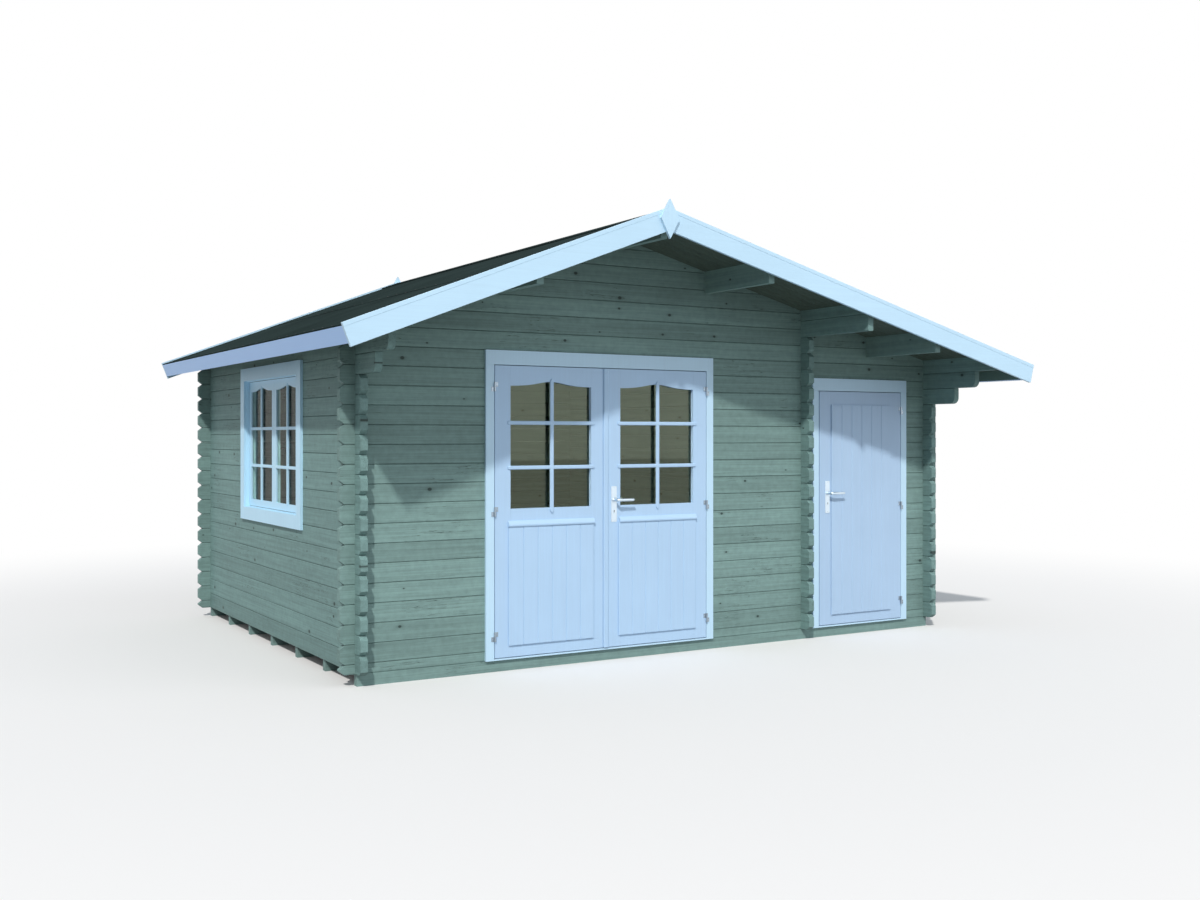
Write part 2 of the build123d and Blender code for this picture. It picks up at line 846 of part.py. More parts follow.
meeting = (double_door.left + double_door.right) / 2 - meeting_offset
left_leaf_edges = (double_door.left + door_gap, meeting - free_edge_gap / 2)
right_leaf_edges = (meeting + free_edge_gap / 2, double_door.right - door_gap)
store_leaf_edges = (store_door.left + free_edge_gap, store_door.right - door_gap)
double_handle_x = right_leaf_edges[0] + double_handle_inset
store_handle_x = store_leaf_edges[0] + store_handle_inset

narrow_stile = double_stile - meeting_offset
wide_stile = double_stile + meeting_offset
leaf_frame, panel, glass = glazed_leaf(*left_leaf_edges, double_stile, narrow_stile, double_door)
save("left_leaf_frame", leaf_frame)
save("left_leaf_panel", [panel])
save("left_leaf_glass", [glass])
leaf_frame, panel, glass = glazed_leaf(*right_leaf_edges, wide_stile, double_stile, double_door)
save("right_leaf_frame", cut_all(leaf_frame, spindle_hole(double_handle_x)))
save("right_leaf_panel", [panel])
save("right_leaf_glass", [glass])
strip_left = right_leaf_edges[0]
strip_right = strip_left + meeting_strip_width
strip_front = casing_front - meeting_strip_thickness
strip_low = double_door.leaf_bottom
strip_high = double_door.leaf_top
save("meeting_strip", [block(strip_left, strip_right, strip_front, casing_front, strip_low, strip_high)])
leaf_frame, panel = boarded_leaf(*store_leaf_edges, store_door)
save("store_leaf_frame", cut_all(leaf_frame, spindle_hole(store_handle_x)))
save("store_leaf_panel", [panel])

left_casing_hinges, left_hinges = hinge_halves(double_door, "left")
right_casing_hinges, right_hinges = hinge_halves(double_door, "right")
store_casing_hinges, store_hinges = hinge_halves(store_door, "right")
save("casing_hinges", left_casing_hinges + right_casing_hinges + store_casing_hinges)
save("left_leaf_hinges", left_hinges)
save("right_leaf_hinges", right_hinges)
save("store_leaf_hinges", store_hinges)

save("right_leaf_handle_plates", handle_plates(double_handle_x))
save("right_leaf_lever", [lever(double_handle_x)])
save("store_leaf_handle_plates", handle_plates(store_handle_x))
save("store_leaf_lever", [lever(store_handle_x)])

# Window
window_half = window_casing_width / 2
casing_boards = ring(window_half, window_low, window_high, window_casing_board, -casing_thickness, 0)
save("window_casing", turned_to_left_wall(casing_boards))
frame_half = window_half - window_inset
frame_low = window_low + window_inset
frame_high = window_high - window_inset
frame_bars = ring(frame_half, frame_low, frame_high, window_frame_bar, 0, frame_depth)
stop_half = frame_half - window_frame_bar - log_gap
stop_low = frame_low + window_frame_bar + log_gap
stop_high = frame_high - window_frame_bar - log_gap
sash_back = sash_recess - casing_thickness + sash_thickness
stops = ring(stop_half, stop_low, stop_high, stop_width, sash_back, frame_depth)
save("window_frame", turned_to_left_wall(frame_bars + stops))
sash_low = frame_low + window_frame_bar + sash_gap
sash_high = frame_high - window_frame_bar - sash_gap
sash_out = frame_half - window_frame_bar - sash_gap
left_sash, left_pane = sash(-sash_out, -sash_gap / 2, sash_low, sash_high)
right_sash, right_pane = sash(sash_gap / 2, sash_out, sash_low, sash_high)
save("window_sashes", turned_to_left_wall(left_sash + right_sash))
save("window_glass", turned_to_left_wall([left_pane, right_pane]))
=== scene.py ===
import math
from collections import namedtuple

import bmesh
import bpy
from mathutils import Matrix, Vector


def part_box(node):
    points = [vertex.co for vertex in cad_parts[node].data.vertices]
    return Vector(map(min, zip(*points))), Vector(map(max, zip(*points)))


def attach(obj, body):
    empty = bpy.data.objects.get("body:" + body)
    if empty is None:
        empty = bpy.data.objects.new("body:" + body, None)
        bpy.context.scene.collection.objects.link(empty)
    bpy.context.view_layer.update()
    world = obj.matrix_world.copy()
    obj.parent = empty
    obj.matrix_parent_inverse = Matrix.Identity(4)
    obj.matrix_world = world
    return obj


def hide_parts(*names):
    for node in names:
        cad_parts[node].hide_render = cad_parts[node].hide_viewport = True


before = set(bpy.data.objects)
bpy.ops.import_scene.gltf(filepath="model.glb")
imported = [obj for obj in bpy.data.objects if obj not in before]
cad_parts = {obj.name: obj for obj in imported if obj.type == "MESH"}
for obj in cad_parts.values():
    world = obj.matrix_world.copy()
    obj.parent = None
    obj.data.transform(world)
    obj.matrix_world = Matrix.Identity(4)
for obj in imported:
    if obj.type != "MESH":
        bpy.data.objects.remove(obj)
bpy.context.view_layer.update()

# Camera, as the photograph was taken: level, from the front left
camera_place = (-4.7566, -8.5204, 1.4315)
camera_turn = math.radians(31.065)
camera_sensor = 36.0
camera_lens = 37.737
camera_shift_y = -0.01193

# Light: a key lamp from the front left, a broad lamp from the front right, and an even fill from all round
key_way = (0.46, 0.566, -0.684)
key_power = 2.52
key_softness = math.radians(2.2)
key_colour = (1.0, 0.985, 0.96)
broad_way = (-0.42, 0.86, -0.29)
broad_power = 0.8
broad_softness = math.radians(80.0)
broad_colour = (0.9, 0.96, 1.0)
fill_power = 0.5
fill_colour = (0.87, 0.95, 1.05, 1)
floor_size = 60.0
floor_colour = (0.85, 0.83, 0.81, 1)
floor_bounce = (0.38, 0.375, 0.37, 1)
floor_fade_start = 4.6
floor_fade_end = 9.0

# Sizes that the part's source also has, in metres
ridge_x = -0.593
ridge_underside = 2.738
pitches = {"left": math.radians(21.1), "right": math.radians(14.8)}
outward = {"left": -1, "right": 1}
roof_board = 0.019
felt_top = 0.023
barge_rise = 0.036
log_height = 0.114
wall_base = 0.07
rebate = 0.010
sash_stile = 0.048
sash_gap = 0.003
spindle_level = 1.022
spindle_places = {"right_leaf": -0.5325, "store_leaf": 1.254}

# Colours
stain = (0.186, 0.291, 0.272)
# Painted shade: a darker, bluer copy of the stain for the side and partition walls' logs, standing in for
# the weaker light on the side walls
side_shaded_stain = (0.172, 0.28, 0.266)
leaf_blue = (0.46, 0.645, 0.855)
# Painted shade: the store door's paint is the leaf paint darkened, standing in for light that falls off
# towards the right
store_shaded_blue = (0.436, 0.594, 0.787)
trim_blue = (0.545, 0.76, 0.92)
# Painted light: a bluer copy of the trim paint for the window on the left wall, standing in for the bluer
# light on that side
side_lit_blue = (0.53, 0.8, 0.98)
# Painted shade: a darker, bluer copy of the trim paint for the eaves' fascias and battens, standing in for
# the bluish shade there
eave_shaded_blue = (0.4, 0.62, 0.99)
felt_colour = (0.026, 0.0395, 0.038)
# Painted shade: the stain darkened and turned olive for the roof boards' underside, standing in for the
# shade under the roof
soffit_shade = (0.062, 0.088, 0.07)
floor_brown = (0.33, 0.285, 0.22)
plate_steel = (0.66, 0.76, 0.84)
hinge_steel = (0.36, 0.43, 0.5)
door_pane = (0.87, 0.92, 0.83)
door_sheen = (0.9, 1.0, 0.76)
window_pane = (0.78, 0.84, 0.77)
window_sheen = (0.88, 1.0, 0.9)
door_pane_bend = 1.5
window_pane_bend = 1.07
stain_dark = (0.022, 0.036, 0.032, 1)
pine_knot = (0.1, 0.07, 0.04, 1)
# Dark colours for nails, the catch and the seal, and painted shade in keyholes and screw slots
slot_darkest = (0.012, 0.013, 0.014, 1)
slot_dark = (0.03, 0.031, 0.033, 1)


# Node helpers
def feed(tree, socket, value):
    if isinstance(value, bpy.types.NodeSocket):
        tree.links.new(value, socket)
    else:
        socket.default_value = value


def fill_in(tree, node, sockets):
    """Feed a node's sockets by name."""
    for key, value in sockets.items():
        feed(tree, node.inputs[key], value)


def put(tree, kind, sockets=None, **settings):
    """Add a node with its settings, and feed its sockets."""
    node = tree.nodes.new(kind)
    for key, value in settings.items():
        setattr(node, key, value)
    fill_in(tree, node, sockets or {})
    return node


def sum_of(tree, operation, *values):
    """One step of arithmetic on values or sockets."""
    node = put(tree, "ShaderNodeMath", operation=operation)
    for socket, value in zip(node.inputs, values):
        feed(tree, socket, value)
    return node.outputs[0]


def scaled(tree, value, factor):
    return sum_of(tree, "MULTIPLY", value, factor)


def line_of(tree, value, factor, start):
    """Start plus the value times the factor."""
    return sum_of(tree, "MULTIPLY_ADD", value, factor, start)


def weighted(tree, masks, weights):
    """Sum of named masks, each times its weight."""
    total = 0.0
    for name, weight in weights.items():
        total = line_of(tree, masks[name], weight, total)
    return total


def vector_of(tree, x, y, z):
    return put(tree, "ShaderNodeCombineXYZ", {"X": x, "Y": y, "Z": z}).outputs[0]


def stretched(tree, values, factors):
    return vector_of(tree, *[scaled(tree, value, factor) for value, factor in zip(values, factors)])


def length_of(tree, vector):
    return put(tree, "ShaderNodeVectorMath", {0: vector}, operation="LENGTH").outputs["Value"]


def between(tree, value, low, high):
    """0 at low, 1 at high, smooth between and flat outside."""
    sockets = {"Value": value, "From Min": low, "From Max": high}
    return put(tree, "ShaderNodeMapRange", sockets, interpolation_type="SMOOTHSTEP").outputs[0]


def noise(tree, vector, scale, detail=2.0, roughness=0.5):
    sockets = {"Vector": vector, "Scale": scale, "Detail": detail, "Roughness": roughness}
    return put(tree, "ShaderNodeTexNoise", sockets).outputs["Fac"]


def mixed(tree, factor, first, second, way="MIX"):
    node = put(tree, "ShaderNodeMix", data_type="RGBA", blend_type=way)
    for index, value in ((0, factor), (6, first), (7, second)):
        feed(tree, node.inputs[index], value)
    return node.outputs[2]


def tone(colour, share):
    return tuple(min(1.0, channel * share) for channel in colour) + (1,)


def toned(tree, factor, colour, shares):
    """A mix of two tones of one colour."""
    darker, lighter = shares
    return mixed(tree, factor, tone(colour, darker), tone(colour, lighter))


def new_material(name):
    """A material, its nodes, its shader, and the place on the object."""
    material = bpy.data.materials.new(name)
    material.use_nodes = True
    tree = material.node_tree
    place = put(tree, "ShaderNodeTexCoord").outputs["Object"]
    return material, tree, tree.nodes["Principled BSDF"], place


def object_axes(tree, place):
    split = put(tree, "ShaderNodeSeparateXYZ", {"Vector": place})
    return {axis: split.outputs[axis.upper()] for axis in "xyz"}


def bumped(tree, shader, height, strength, distance):
    bump = put(tree, "ShaderNodeBump", {"Height": height, "Strength": strength, "Distance": distance})
    feed(tree, shader.inputs["Normal"], bump.outputs[0])


# Wood: rings, fibres, knots and cracks along one way
ring_scale = 34.0
ring_stretch = 0.035
ring_shift = 9.0
pith_spread = 0.13
pith_depth = 0.05
board_shift = 40.0
fibre_stretch = (3.0, 170.0, 170.0)
streak_stretch = (1.3, 38.0, 38.0)
crack_scale = 1.7
crack_onset = (0.56, 0.62)
crack_edge = (0.008, 0.002)
knot_step = 0.46
knot_length = 0.0105
knot_height = 0.0078
knot_spread = 0.075
knot_share = 0.34
knot_seed = 3.7
knot_margin = 0.2
knot_least = 0.5
knot_growth = 0.9
knot_edge = (1.2, 0.7)
halo_length = 3.6
halo_height = 1.9
halo_edge = (1.0, 0.1)


def wood_figure(tree, length, across, depth, lane):
    """Masks of one board's figure. Lane is the board's number."""
    luck = put(tree, "ShaderNodeTexWhiteNoise", {"W": lane}, noise_dimensions="1D")
    dice = put(tree, "ShaderNodeSeparateColor", {"Color": luck.outputs["Color"]}).outputs
    rings = vector_of(
        tree,
        line_of(tree, length, ring_stretch, scaled(tree, dice[1], ring_shift)),
        sum_of(tree, "ADD", across, line_of(tree, dice[0], pith_spread, -pith_spread / 2)),
        line_of(tree, dice[2], pith_depth, depth),
    )
    wave = put(
        tree,
        "ShaderNodeTexWave",
        {"Vector": rings, "Scale": ring_scale, "Distortion": 5.0, "Detail": 3.0, "Detail Scale": 0.8},
        wave_type="RINGS",
        rings_direction="X",
        wave_profile="SAW",
    ).outputs["Fac"]
    run = sum_of(tree, "ADD", length, scaled(tree, dice[1], board_shift))
    solid = (run, across, depth)
    fibre = noise(tree, stretched(tree, solid, fibre_stretch), scale=1.0, detail=4.0, roughness=0.65)
    streak = noise(tree, stretched(tree, solid, streak_stretch), scale=1.0, detail=3.0, roughness=0.6)
    crack_line = sum_of(tree, "ABSOLUTE", sum_of(tree, "SUBTRACT", streak, 0.5))
    crack_patch = noise(tree, vector_of(tree, run, lane, 0.0), crack_scale, detail=1.0)
    crack = scaled(tree, between(tree, crack_line, *crack_edge), between(tree, crack_patch, *crack_onset))
    cells = sum_of(tree, "DIVIDE", run, knot_step)
    cell = sum_of(tree, "FLOOR", cells)
    seed = vector_of(tree, cell, lane, knot_seed)
    throw = put(tree, "ShaderNodeTexWhiteNoise", {"Vector": seed}, noise_dimensions="3D")
    roll = put(tree, "ShaderNodeSeparateColor", {"Color": throw.outputs["Color"]}).outputs
    in_cell = sum_of(tree, "FRACT", cells)
    centre = line_of(tree, roll[0], 1 - 2 * knot_margin, knot_margin)
    along_off = scaled(tree, sum_of(tree, "SUBTRACT", in_cell, centre), knot_step)
    up_off = sum_of(tree, "SUBTRACT", across, line_of(tree, roll[1], knot_spread, -knot_spread / 2))
    size = line_of(tree, roll[2], knot_growth, knot_least)
    there = sum_of(tree, "LESS_THAN", throw.outputs["Value"], knot_share)

    def spot(half_length, half_height, edge):
        u = sum_of(tree, "DIVIDE", along_off, scaled(tree, size, half_length))
        v = sum_of(tree, "DIVIDE", up_off, scaled(tree, size, half_height))
        off = length_of(tree, vector_of(tree, u, v, 0.0))
        return scaled(tree, between(tree, off, *edge), there)

    return {
        "rings": wave,
        "fibre": fibre,
        "streak": streak,
        "crack": crack,
        "knot": spot(knot_length, knot_height, knot_edge),
        "halo": spot(knot_length * halo_length, knot_height * halo_height, halo_edge),
        "luck": luck.outputs["Value"],
    }


figure_weights = {"rings": 0.1, "fibre": 0.42, "streak": 0.5, "speck": 0.35}
mark_strengths = {"halo": 0.3, "crack": 0.65, "knot": 0.85}
relief_weights = {"rings": 1.0, "fibre": 0.5, "crack": -2.2, "knot": 0.9}
figure_span = (0.3, 1.08)
patch_lift = 0.16
board_lift = 0.2
least_lift = 0.82
wood_roughness = 0.55
fibre_roughness = 0.24


def wood_shader(tree, shader, place, figure, colour, knot_colour, contrast):
    """Colour, roughness and relief from a board's figure."""
    figure["speck"] = noise(tree, place, scale=26.0, detail=3.0, roughness=0.65)
    figure_mix = between(tree, weighted(tree, figure, figure_weights), *figure_span)
    shade = toned(tree, figure_mix, colour, (1 - contrast, 1 + contrast))
    patch = noise(tree, place, scale=2.3, detail=3.0, roughness=0.55)
    lift = line_of(tree, patch, patch_lift, line_of(tree, figure["luck"], board_lift, least_lift))
    shade = mixed(tree, 1.0, shade, vector_of(tree, lift, lift, lift), "MULTIPLY")
    for mark, strength in mark_strengths.items():
        shade = mixed(tree, scaled(tree, figure[mark], strength), shade, knot_colour)
    roughness = line_of(tree, figure["fibre"], fibre_roughness, wood_roughness)
    fill_in(tree, shader, {"Base Color": shade, "Roughness": roughness, "Specular IOR Level": 0.3})
    bumped(tree, shader, weighted(tree, figure, relief_weights), strength=0.14, distance=0.001)


def course_of(tree, level, start, width):
    """The number of the board at a level, and the way across it from its middle."""
    course = sum_of(tree, "DIVIDE", sum_of(tree, "SUBTRACT", level, start), width)
    from_middle = sum_of(tree, "SUBTRACT", sum_of(tree, "FRACT", course), 0.5)
    return sum_of(tree, "FLOOR", course), scaled(tree, from_middle, width)


wall_spacing = 1.3
wall_lanes = 17.0
plank_lanes = 71.0
joint_edge = 0.0535
joint_width = 0.002
joint_strength = 0.55
log_contrast = 0.3
stain_contrast = 0.28
pine_contrast = 0.22


def log_material(name, along, colour):
    """Stained logs: each course has its own figure, and its joints are darker."""
    material, tree, shader, place = new_material(name)
    axes = object_axes(tree, place)
    depth = axes["y" if along == "x" else "x"]
    start = wall_base + (log_height / 2 if along == "x" else 0)
    index, across = course_of(tree, axes["z"], start, log_height)
    wall = sum_of(tree, "ROUND", scaled(tree, depth, wall_spacing))
    lane = line_of(tree, wall, wall_lanes, index)
    near = sum_of(tree, "SUBTRACT", depth, sum_of(tree, "DIVIDE", wall, wall_spacing))
    figure = wood_figure(tree, axes[along], across, near, lane)
    edge = between(tree, sum_of(tree, "ABSOLUTE", across), joint_edge, joint_edge + joint_width)
    figure["crack"] = sum_of(tree, "MAXIMUM", figure["crack"], scaled(tree, edge, joint_strength))
    wood_shader(tree, shader, place, figure, colour, stain_dark, log_contrast)
    return material


def plank_material(name, along, across_axis, looks, width, start):
    """Boards side by side, each with its own figure. Looks: wood colour, knot colour and contrast."""
    material, tree, shader, place = new_material(name)
    axes = object_axes(tree, place)
    depth_axis = [axis for axis in "xyz" if axis not in (along, across_axis)][0]
    index, across = course_of(tree, axes[across_axis], start, width)
    lane = sum_of(tree, "ADD", index, plank_lanes)
    figure = wood_figure(tree, axes[along], across, axes[depth_axis], lane)
    wood_shader(tree, shader, place, figure, *looks)
    return material


def brush_place(tree, axes, along, coarse, fine):
    """A place for brush lines: coarse along one axis, and fine across it."""
    return stretched(tree, axes.values(), [coarse if axis == along else fine for axis in axes])


# Paint: smooth, with faint brush lines along the board
paint_weights = {"thin": 0.3, "patch": 0.5, "brush": 0.35}
paint_span = (0.3, 0.9)
paint_tones = (0.95, 1.04)
# Brightening of the darker colour that stands in for shade on inward faces
shade_share = 1.25


def paint_material(name, along, colour, shaded_below=None, shade_colour=None):
    """Painted boards. Given a level, faces turned less outwards than that take a darker colour, painted
    shade on inner faces and undersides under the eaves.
    """
    material, tree, shader, place = new_material(name)
    axes = object_axes(tree, place)
    lines = brush_place(tree, axes, along, coarse=5.0, fine=210.0)
    masks = {
        "thin": noise(tree, lines, scale=0.32),
        "patch": noise(tree, place, scale=3.1, detail=3.0),
        "brush": noise(tree, lines, scale=1.0, detail=3.0, roughness=0.6),
    }
    mix = between(tree, weighted(tree, masks, paint_weights), *paint_span)
    shade = toned(tree, mix, colour, paint_tones)
    # Painted shade: faces turned inwards or under take a darker colour
    if shaded_below is not None:
        normal = put(tree, "ShaderNodeTexCoord").outputs["Normal"]
        side = put(tree, "ShaderNodeSeparateXYZ", {"Vector": normal}).outputs["X"]
        turned_in = sum_of(tree, "LESS_THAN", scaled(tree, side, axes["x"]), shaded_below)
        shade = mixed(tree, turned_in, shade, tone(shade_colour, shade_share))
    roughness = line_of(tree, masks["brush"], factor=0.16, start=0.36)
    fill_in(tree, shader, {"Base Color": shade, "Roughness": roughness, "Specular IOR Level": 0.35})
    bumped(tree, shader, masks["brush"], strength=0.12, distance=0.0006)
    return material


# Roofing felt: mineral grit on a dark sheet
felt_weights = {"patch": 0.35, "coarse": 0.3, "grit": 0.55}
felt_span = (0.38, 0.85)
felt_tones = (0.62, 1.5)


def felt_material():
    material, tree, shader, place = new_material("roofing_felt")
    masks = {
        "patch": noise(tree, place, scale=1.4, detail=4.0, roughness=0.6),
        "coarse": noise(tree, place, scale=170.0, roughness=0.6),
        "grit": noise(tree, place, scale=620.0, roughness=0.7),
    }
    mix = weighted(tree, masks, felt_weights)
    shade = toned(tree, between(tree, mix, *felt_span), felt_colour, felt_tones)
    roughness = line_of(tree, masks["grit"], factor=0.15, start=0.82)
    fill_in(tree, shader, {"Base Color": shade, "Roughness": roughness, "Specular IOR Level": 0.0})
    bumped(tree, shader, mix, strength=0.5, distance=0.0012)
    return material


def surface_mix(tree, factor, first, second):
    """Show a mix of two shaders on the surface."""
    mix = put(tree, "ShaderNodeMixShader", {0: factor, 1: first.outputs[0], 2: second.outputs[0]})
    output = "World Output" if "World Output" in tree.nodes else "Material Output"
    tree.links.new(mix.outputs[0], tree.nodes[output].inputs["Surface"])


film_roughness = 0.03
film_span = (0.45, 0.85)


def glass_material(name, tint, sheen, bend):
    """Clear glass with a faint film, that lets the lamps' light into the rooms."""
    material, tree, shader, place = new_material(name)
    film = between(tree, noise(tree, place, scale=2.2), *film_span)
    looks = {
        "Base Color": tone(tint, 1.0),
        "Transmission Weight": 1.0,
        "IOR": bend,
        "Specular Tint": tone(sheen, 1.0),
        "Roughness": scaled(tree, film, film_roughness),
    }
    fill_in(tree, shader, looks)
    bumped(tree, shader, noise(tree, place, scale=1.3, detail=1.0), strength=0.04, distance=0.004)
    shadow_ray = put(tree, "ShaderNodeLightPath").outputs["Is Shadow Ray"]
    clear = put(tree, "ShaderNodeBsdfTransparent", {"Color": tone(tint, 1.0)})
    surface_mix(tree, shadow_ray, shader, clear)
    return material


steel_span = (0.3, 0.7)
steel_tones = (0.92, 1.0)


def steel_material(name, along, colour):
    """Metal with fine brush lines."""
    material, tree, shader, place = new_material(name)
    axes = object_axes(tree, place)
    lines = brush_place(tree, axes, along, coarse=20.0, fine=900.0)
    brush = noise(tree, lines, scale=1.0, detail=3.0, roughness=0.6)
    shade = toned(tree, between(tree, brush, *steel_span), colour, steel_tones)
    roughness = line_of(tree, brush, factor=0.2, start=0.24)
    fill_in(tree, shader, {"Base Color": shade, "Roughness": roughness, "Metallic": 1.0})
    bumped(tree, shader, brush, strength=0.08, distance=0.0003)
    return material


def dark_material():
    """Nail heads, seals, catches, and painted shade: dark blocks for the inside of keyholes and screw slots.
    """
    material, tree, shader, place = new_material("dark_slot")
    speck = noise(tree, place, scale=400.0, roughness=0.6)
    shade = mixed(tree, speck, slot_darkest, slot_dark)
    roughness = line_of(tree, speck, factor=0.2, start=0.5)
    fill_in(tree, shader, {"Base Color": shade, "Roughness": roughness})
    return material


# Shape helpers
def extrude(bm, outline, at, low, high):
    """A closed outline of (a, b) points, drawn out from low to high."""
    first = [bm.verts.new(at(a, b, low)) for a, b in outline]
    last = [bm.verts.new(at(a, b, high)) for a, b in outline]
    bm.faces.new(first)
    bm.faces.new(list(reversed(last)))
    count = len(outline)
    for i in range(count):
        j = (i + 1) % count
        bm.faces.new((first[j], first[i], last[i], last[j]))


def loft(bm, rings, closed=False):
    """Join rings of points in order, and close both ends or join the last ring to the first."""
    made = [[bm.verts.new(point) for point in ring] for ring in rings]
    count = len(made[0])
    after = made[1:] + made[:1] if closed else made[1:]
    for near, far in zip(made, after):
        for i in range(count):
            j = (i + 1) % count
            bm.faces.new((near[i], near[j], far[j], far[i]))
    if not closed:
        bm.faces.new(list(reversed(made[0])))
        bm.faces.new(made[-1])


def chamfered(half_width, low, high, cut):
    """Outline of a strip's section with its two front edges cut."""
    return [
        (-half_width, low),
        (half_width, low),
        (half_width, high - cut),
        (half_width - cut, high),
        (cut - half_width, high),
        (-half_width, high - cut),
    ]


def circle(radius, count):
    turns = [2 * math.pi * k / count for k in range(count)]
    return [(radius * math.cos(turn), radius * math.sin(turn)) for turn in turns]


def disc(bm, at, radius, height, cut, count):
    """A round head with a cut edge. at(a, b, out) places its points."""
    rings = [(radius, 0.0), (radius, height - cut), (radius - cut, height)]
    loft(bm, [[at(a, b, out) for a, b in circle(size, count)] for size, out in rings])


def set_in_scene(name, data):
    thing = bpy.data.objects.new(name, data)
    bpy.context.scene.collection.objects.link(thing)
    return thing


def add_piece(name, bm, material, body, smooth_angle=None, replaced=()):
    bmesh.ops.recalc_face_normals(bm, faces=bm.faces)
    mesh = bpy.data.meshes.new(name)
    bm.to_mesh(mesh)
    bm.free()
    mesh.materials.append(material)
    if smooth_angle is not None:
        mesh.polygons.foreach_set("use_smooth", [True] * len(mesh.polygons))
        mesh.set_sharp_from_angle(angle=math.radians(smooth_angle))
    piece = set_in_scene(name, mesh)
    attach(piece, body)
    if replaced:
        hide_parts(*replaced)


# The least gap between neighbours
hair = 0.0002


def grooved(start, end, level, depth):
    """One face of a board's section, cut back at both edges. A depth below 0 goes the other way."""
    inset = abs(depth)
    edge = level + depth
    return [(start + hair, edge), (start + inset, level), (end - inset, level), (end - hair, edge)]


def split(low, high, count):
    """The edges of each of so many boards, side by side from low to high."""
    width = (high - low) / count
    return [(low + k * width, low + k * width + width) for k in range(count)]


# Faces that pieces are set on: u to the right, v up, and out from the face
def front_face(face_y):
    return lambda u, v, out: (u, face_y - out, v)


def back_face(face_y):
    return lambda u, v, out: (u, face_y + out, v)


def left_face(face_x):
    return lambda u, v, out: (face_x - out, -u, v)


# Materials of the carried-over nodes
beam_stain = tone(stain, 0.96)[:3]
logs_x = log_material("log_stain_across", "x", stain)
# Painted shade: the side and partition walls' logs take the darker copy of the stain
logs_y = log_material("log_stain_along_shaded", "y", side_shaded_stain)
beam_looks = (beam_stain, stain_dark, stain_contrast)
beam_y = plank_material("beam_stain_along", "y", "z", beam_looks, width=0.37, start=0.031)
beam_x = plank_material("beam_stain_across", "x", "y", beam_looks, width=0.31, start=0.017)
leaf_up = paint_material("leaf_paint_upright", "z", leaf_blue)
leaf_along = paint_material("leaf_paint_along", "x", leaf_blue)
# Painted shade: a darker copy of the leaf paint for the store door
store_up_shaded = paint_material("store_paint_upright_shaded", "z", store_shaded_blue)
paint_up = paint_material("trim_paint_upright", "z", trim_blue)
paint_along = paint_material("trim_paint_along", "x", trim_blue)
# Painted light: the window's casing, frame, sashes and bars take the bluer copy of the trim paint
paint_side_lit = paint_material("side_lit_paint_upright", "z", side_lit_blue)
# Painted shade: the fascias' inner faces take the stain, and the battens' undersides and inner faces the
# darkened soffit colour
paint_back_shaded = paint_material("eave_paint_shaded_inside", "y", eave_shaded_blue, shaded_below=-1.5, shade_colour=stain)
batten_paint_shaded = paint_material("edge_batten_paint_shaded_under", "x", eave_shaded_blue, shaded_below=0.5, shade_colour=soffit_shade)
felt = felt_material()
door_glass = glass_material("door_pane", door_pane, door_sheen, door_pane_bend)
side_glass = glass_material("window_pane", window_pane, window_sheen, window_pane_bend)
steel = steel_material("satin_steel", "z", plate_steel)
zinc = steel_material("hinge_steel", "z", hinge_steel)
dark = dark_material()

node_materials = {
    logs_x: ["front_wall_left", "front_wall_middle", "front_wall_right", "front_wall_gable", "back_wall"],
    logs_y: ["left_wall", "right_wall", "partition_wall"],
    beam_y: ["ridge_purlin", "wall_purlins"],
    beam_x: ["floor_bearers"],
    paint_along: [
        "front_bargeboard_left", "front_bargeboard_right", "back_bargeboard_left", "back_bargeboard_right",
    ],
    batten_paint_shaded: ["edge_battens_left", "edge_battens_right"],
    paint_back_shaded: ["eave_fascias"],
    paint_up: [
        "ridge_finials", "double_door_casing", "double_door_frame", "store_door_casing", "store_door_frame",
    ],
    paint_side_lit: ["window_casing", "window_frame", "window_sashes"],
    leaf_up: ["left_leaf_frame", "right_leaf_frame"],
    store_up_shaded: ["store_leaf_frame"],
    felt: ["roofing_left", "roofing_right"],
    door_glass: ["left_leaf_glass", "right_leaf_glass"],
    side_glass: ["window_glass"],
    zinc: ["casing_hinges", "left_leaf_hinges", "right_leaf_hinges", "store_leaf_hinges"],
}
for material, names in node_materials.items():
    for name in names:
        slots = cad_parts[name].data.materials
        slots.clear()
        slots.append(material)

# Boards of the door panels, with a groove at each joint
board_width = 0.0905
groove = 0.003
panel_setback = 0.013
double_panel_lap = 0.016
no_lap = 0.0
extra_proud = 0.003


def board_row(bm, left, right, low, high, front, back, count):
    """Upright boards side by side, grooved on both faces."""

    def at(a, b, t):
        return (a, b, t)

    for start, end in split(left, right, count):
        outline = grooved(start, end, front, groove) + grooved(start, end, back, -groove)[::-1]
        extrude(bm, outline, at, low, high)


def board_panel(leaf, lap):
    """A raised face over the frame, and the back of the panel in the frame's recess."""
    node = leaf + "_panel"
    low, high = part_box(node)
    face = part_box(leaf + "_frame")[0].y
    inset = max(lap, rebate)
    left = low.x + inset
    right = high.x - inset
    bottom = low.z + inset
    top = high.z - rebate
    count = round((right - left) / board_width)
    bm = bmesh.new()
    board_row(bm, left - lap, right + lap, bottom - lap, top, low.y - extra_proud, face, count)
    board_row(bm, left, right, bottom, top, face, face + panel_setback, count)
    left -= rebate
    right += rebate
    board_row(bm, left, right, bottom - rebate, top + rebate, face + panel_setback, high.y, count)
    # The store door's boards take the darker copy of the leaf paint, a painted shade
    paint = store_up_shaded if leaf == "store_leaf" else leaf_up
    add_piece(node + "_boards", bm, paint, leaf, replaced=(node,))


board_panel("left_leaf", double_panel_lap)
board_panel("right_leaf", double_panel_lap)
board_panel("store_leaf", no_lap)

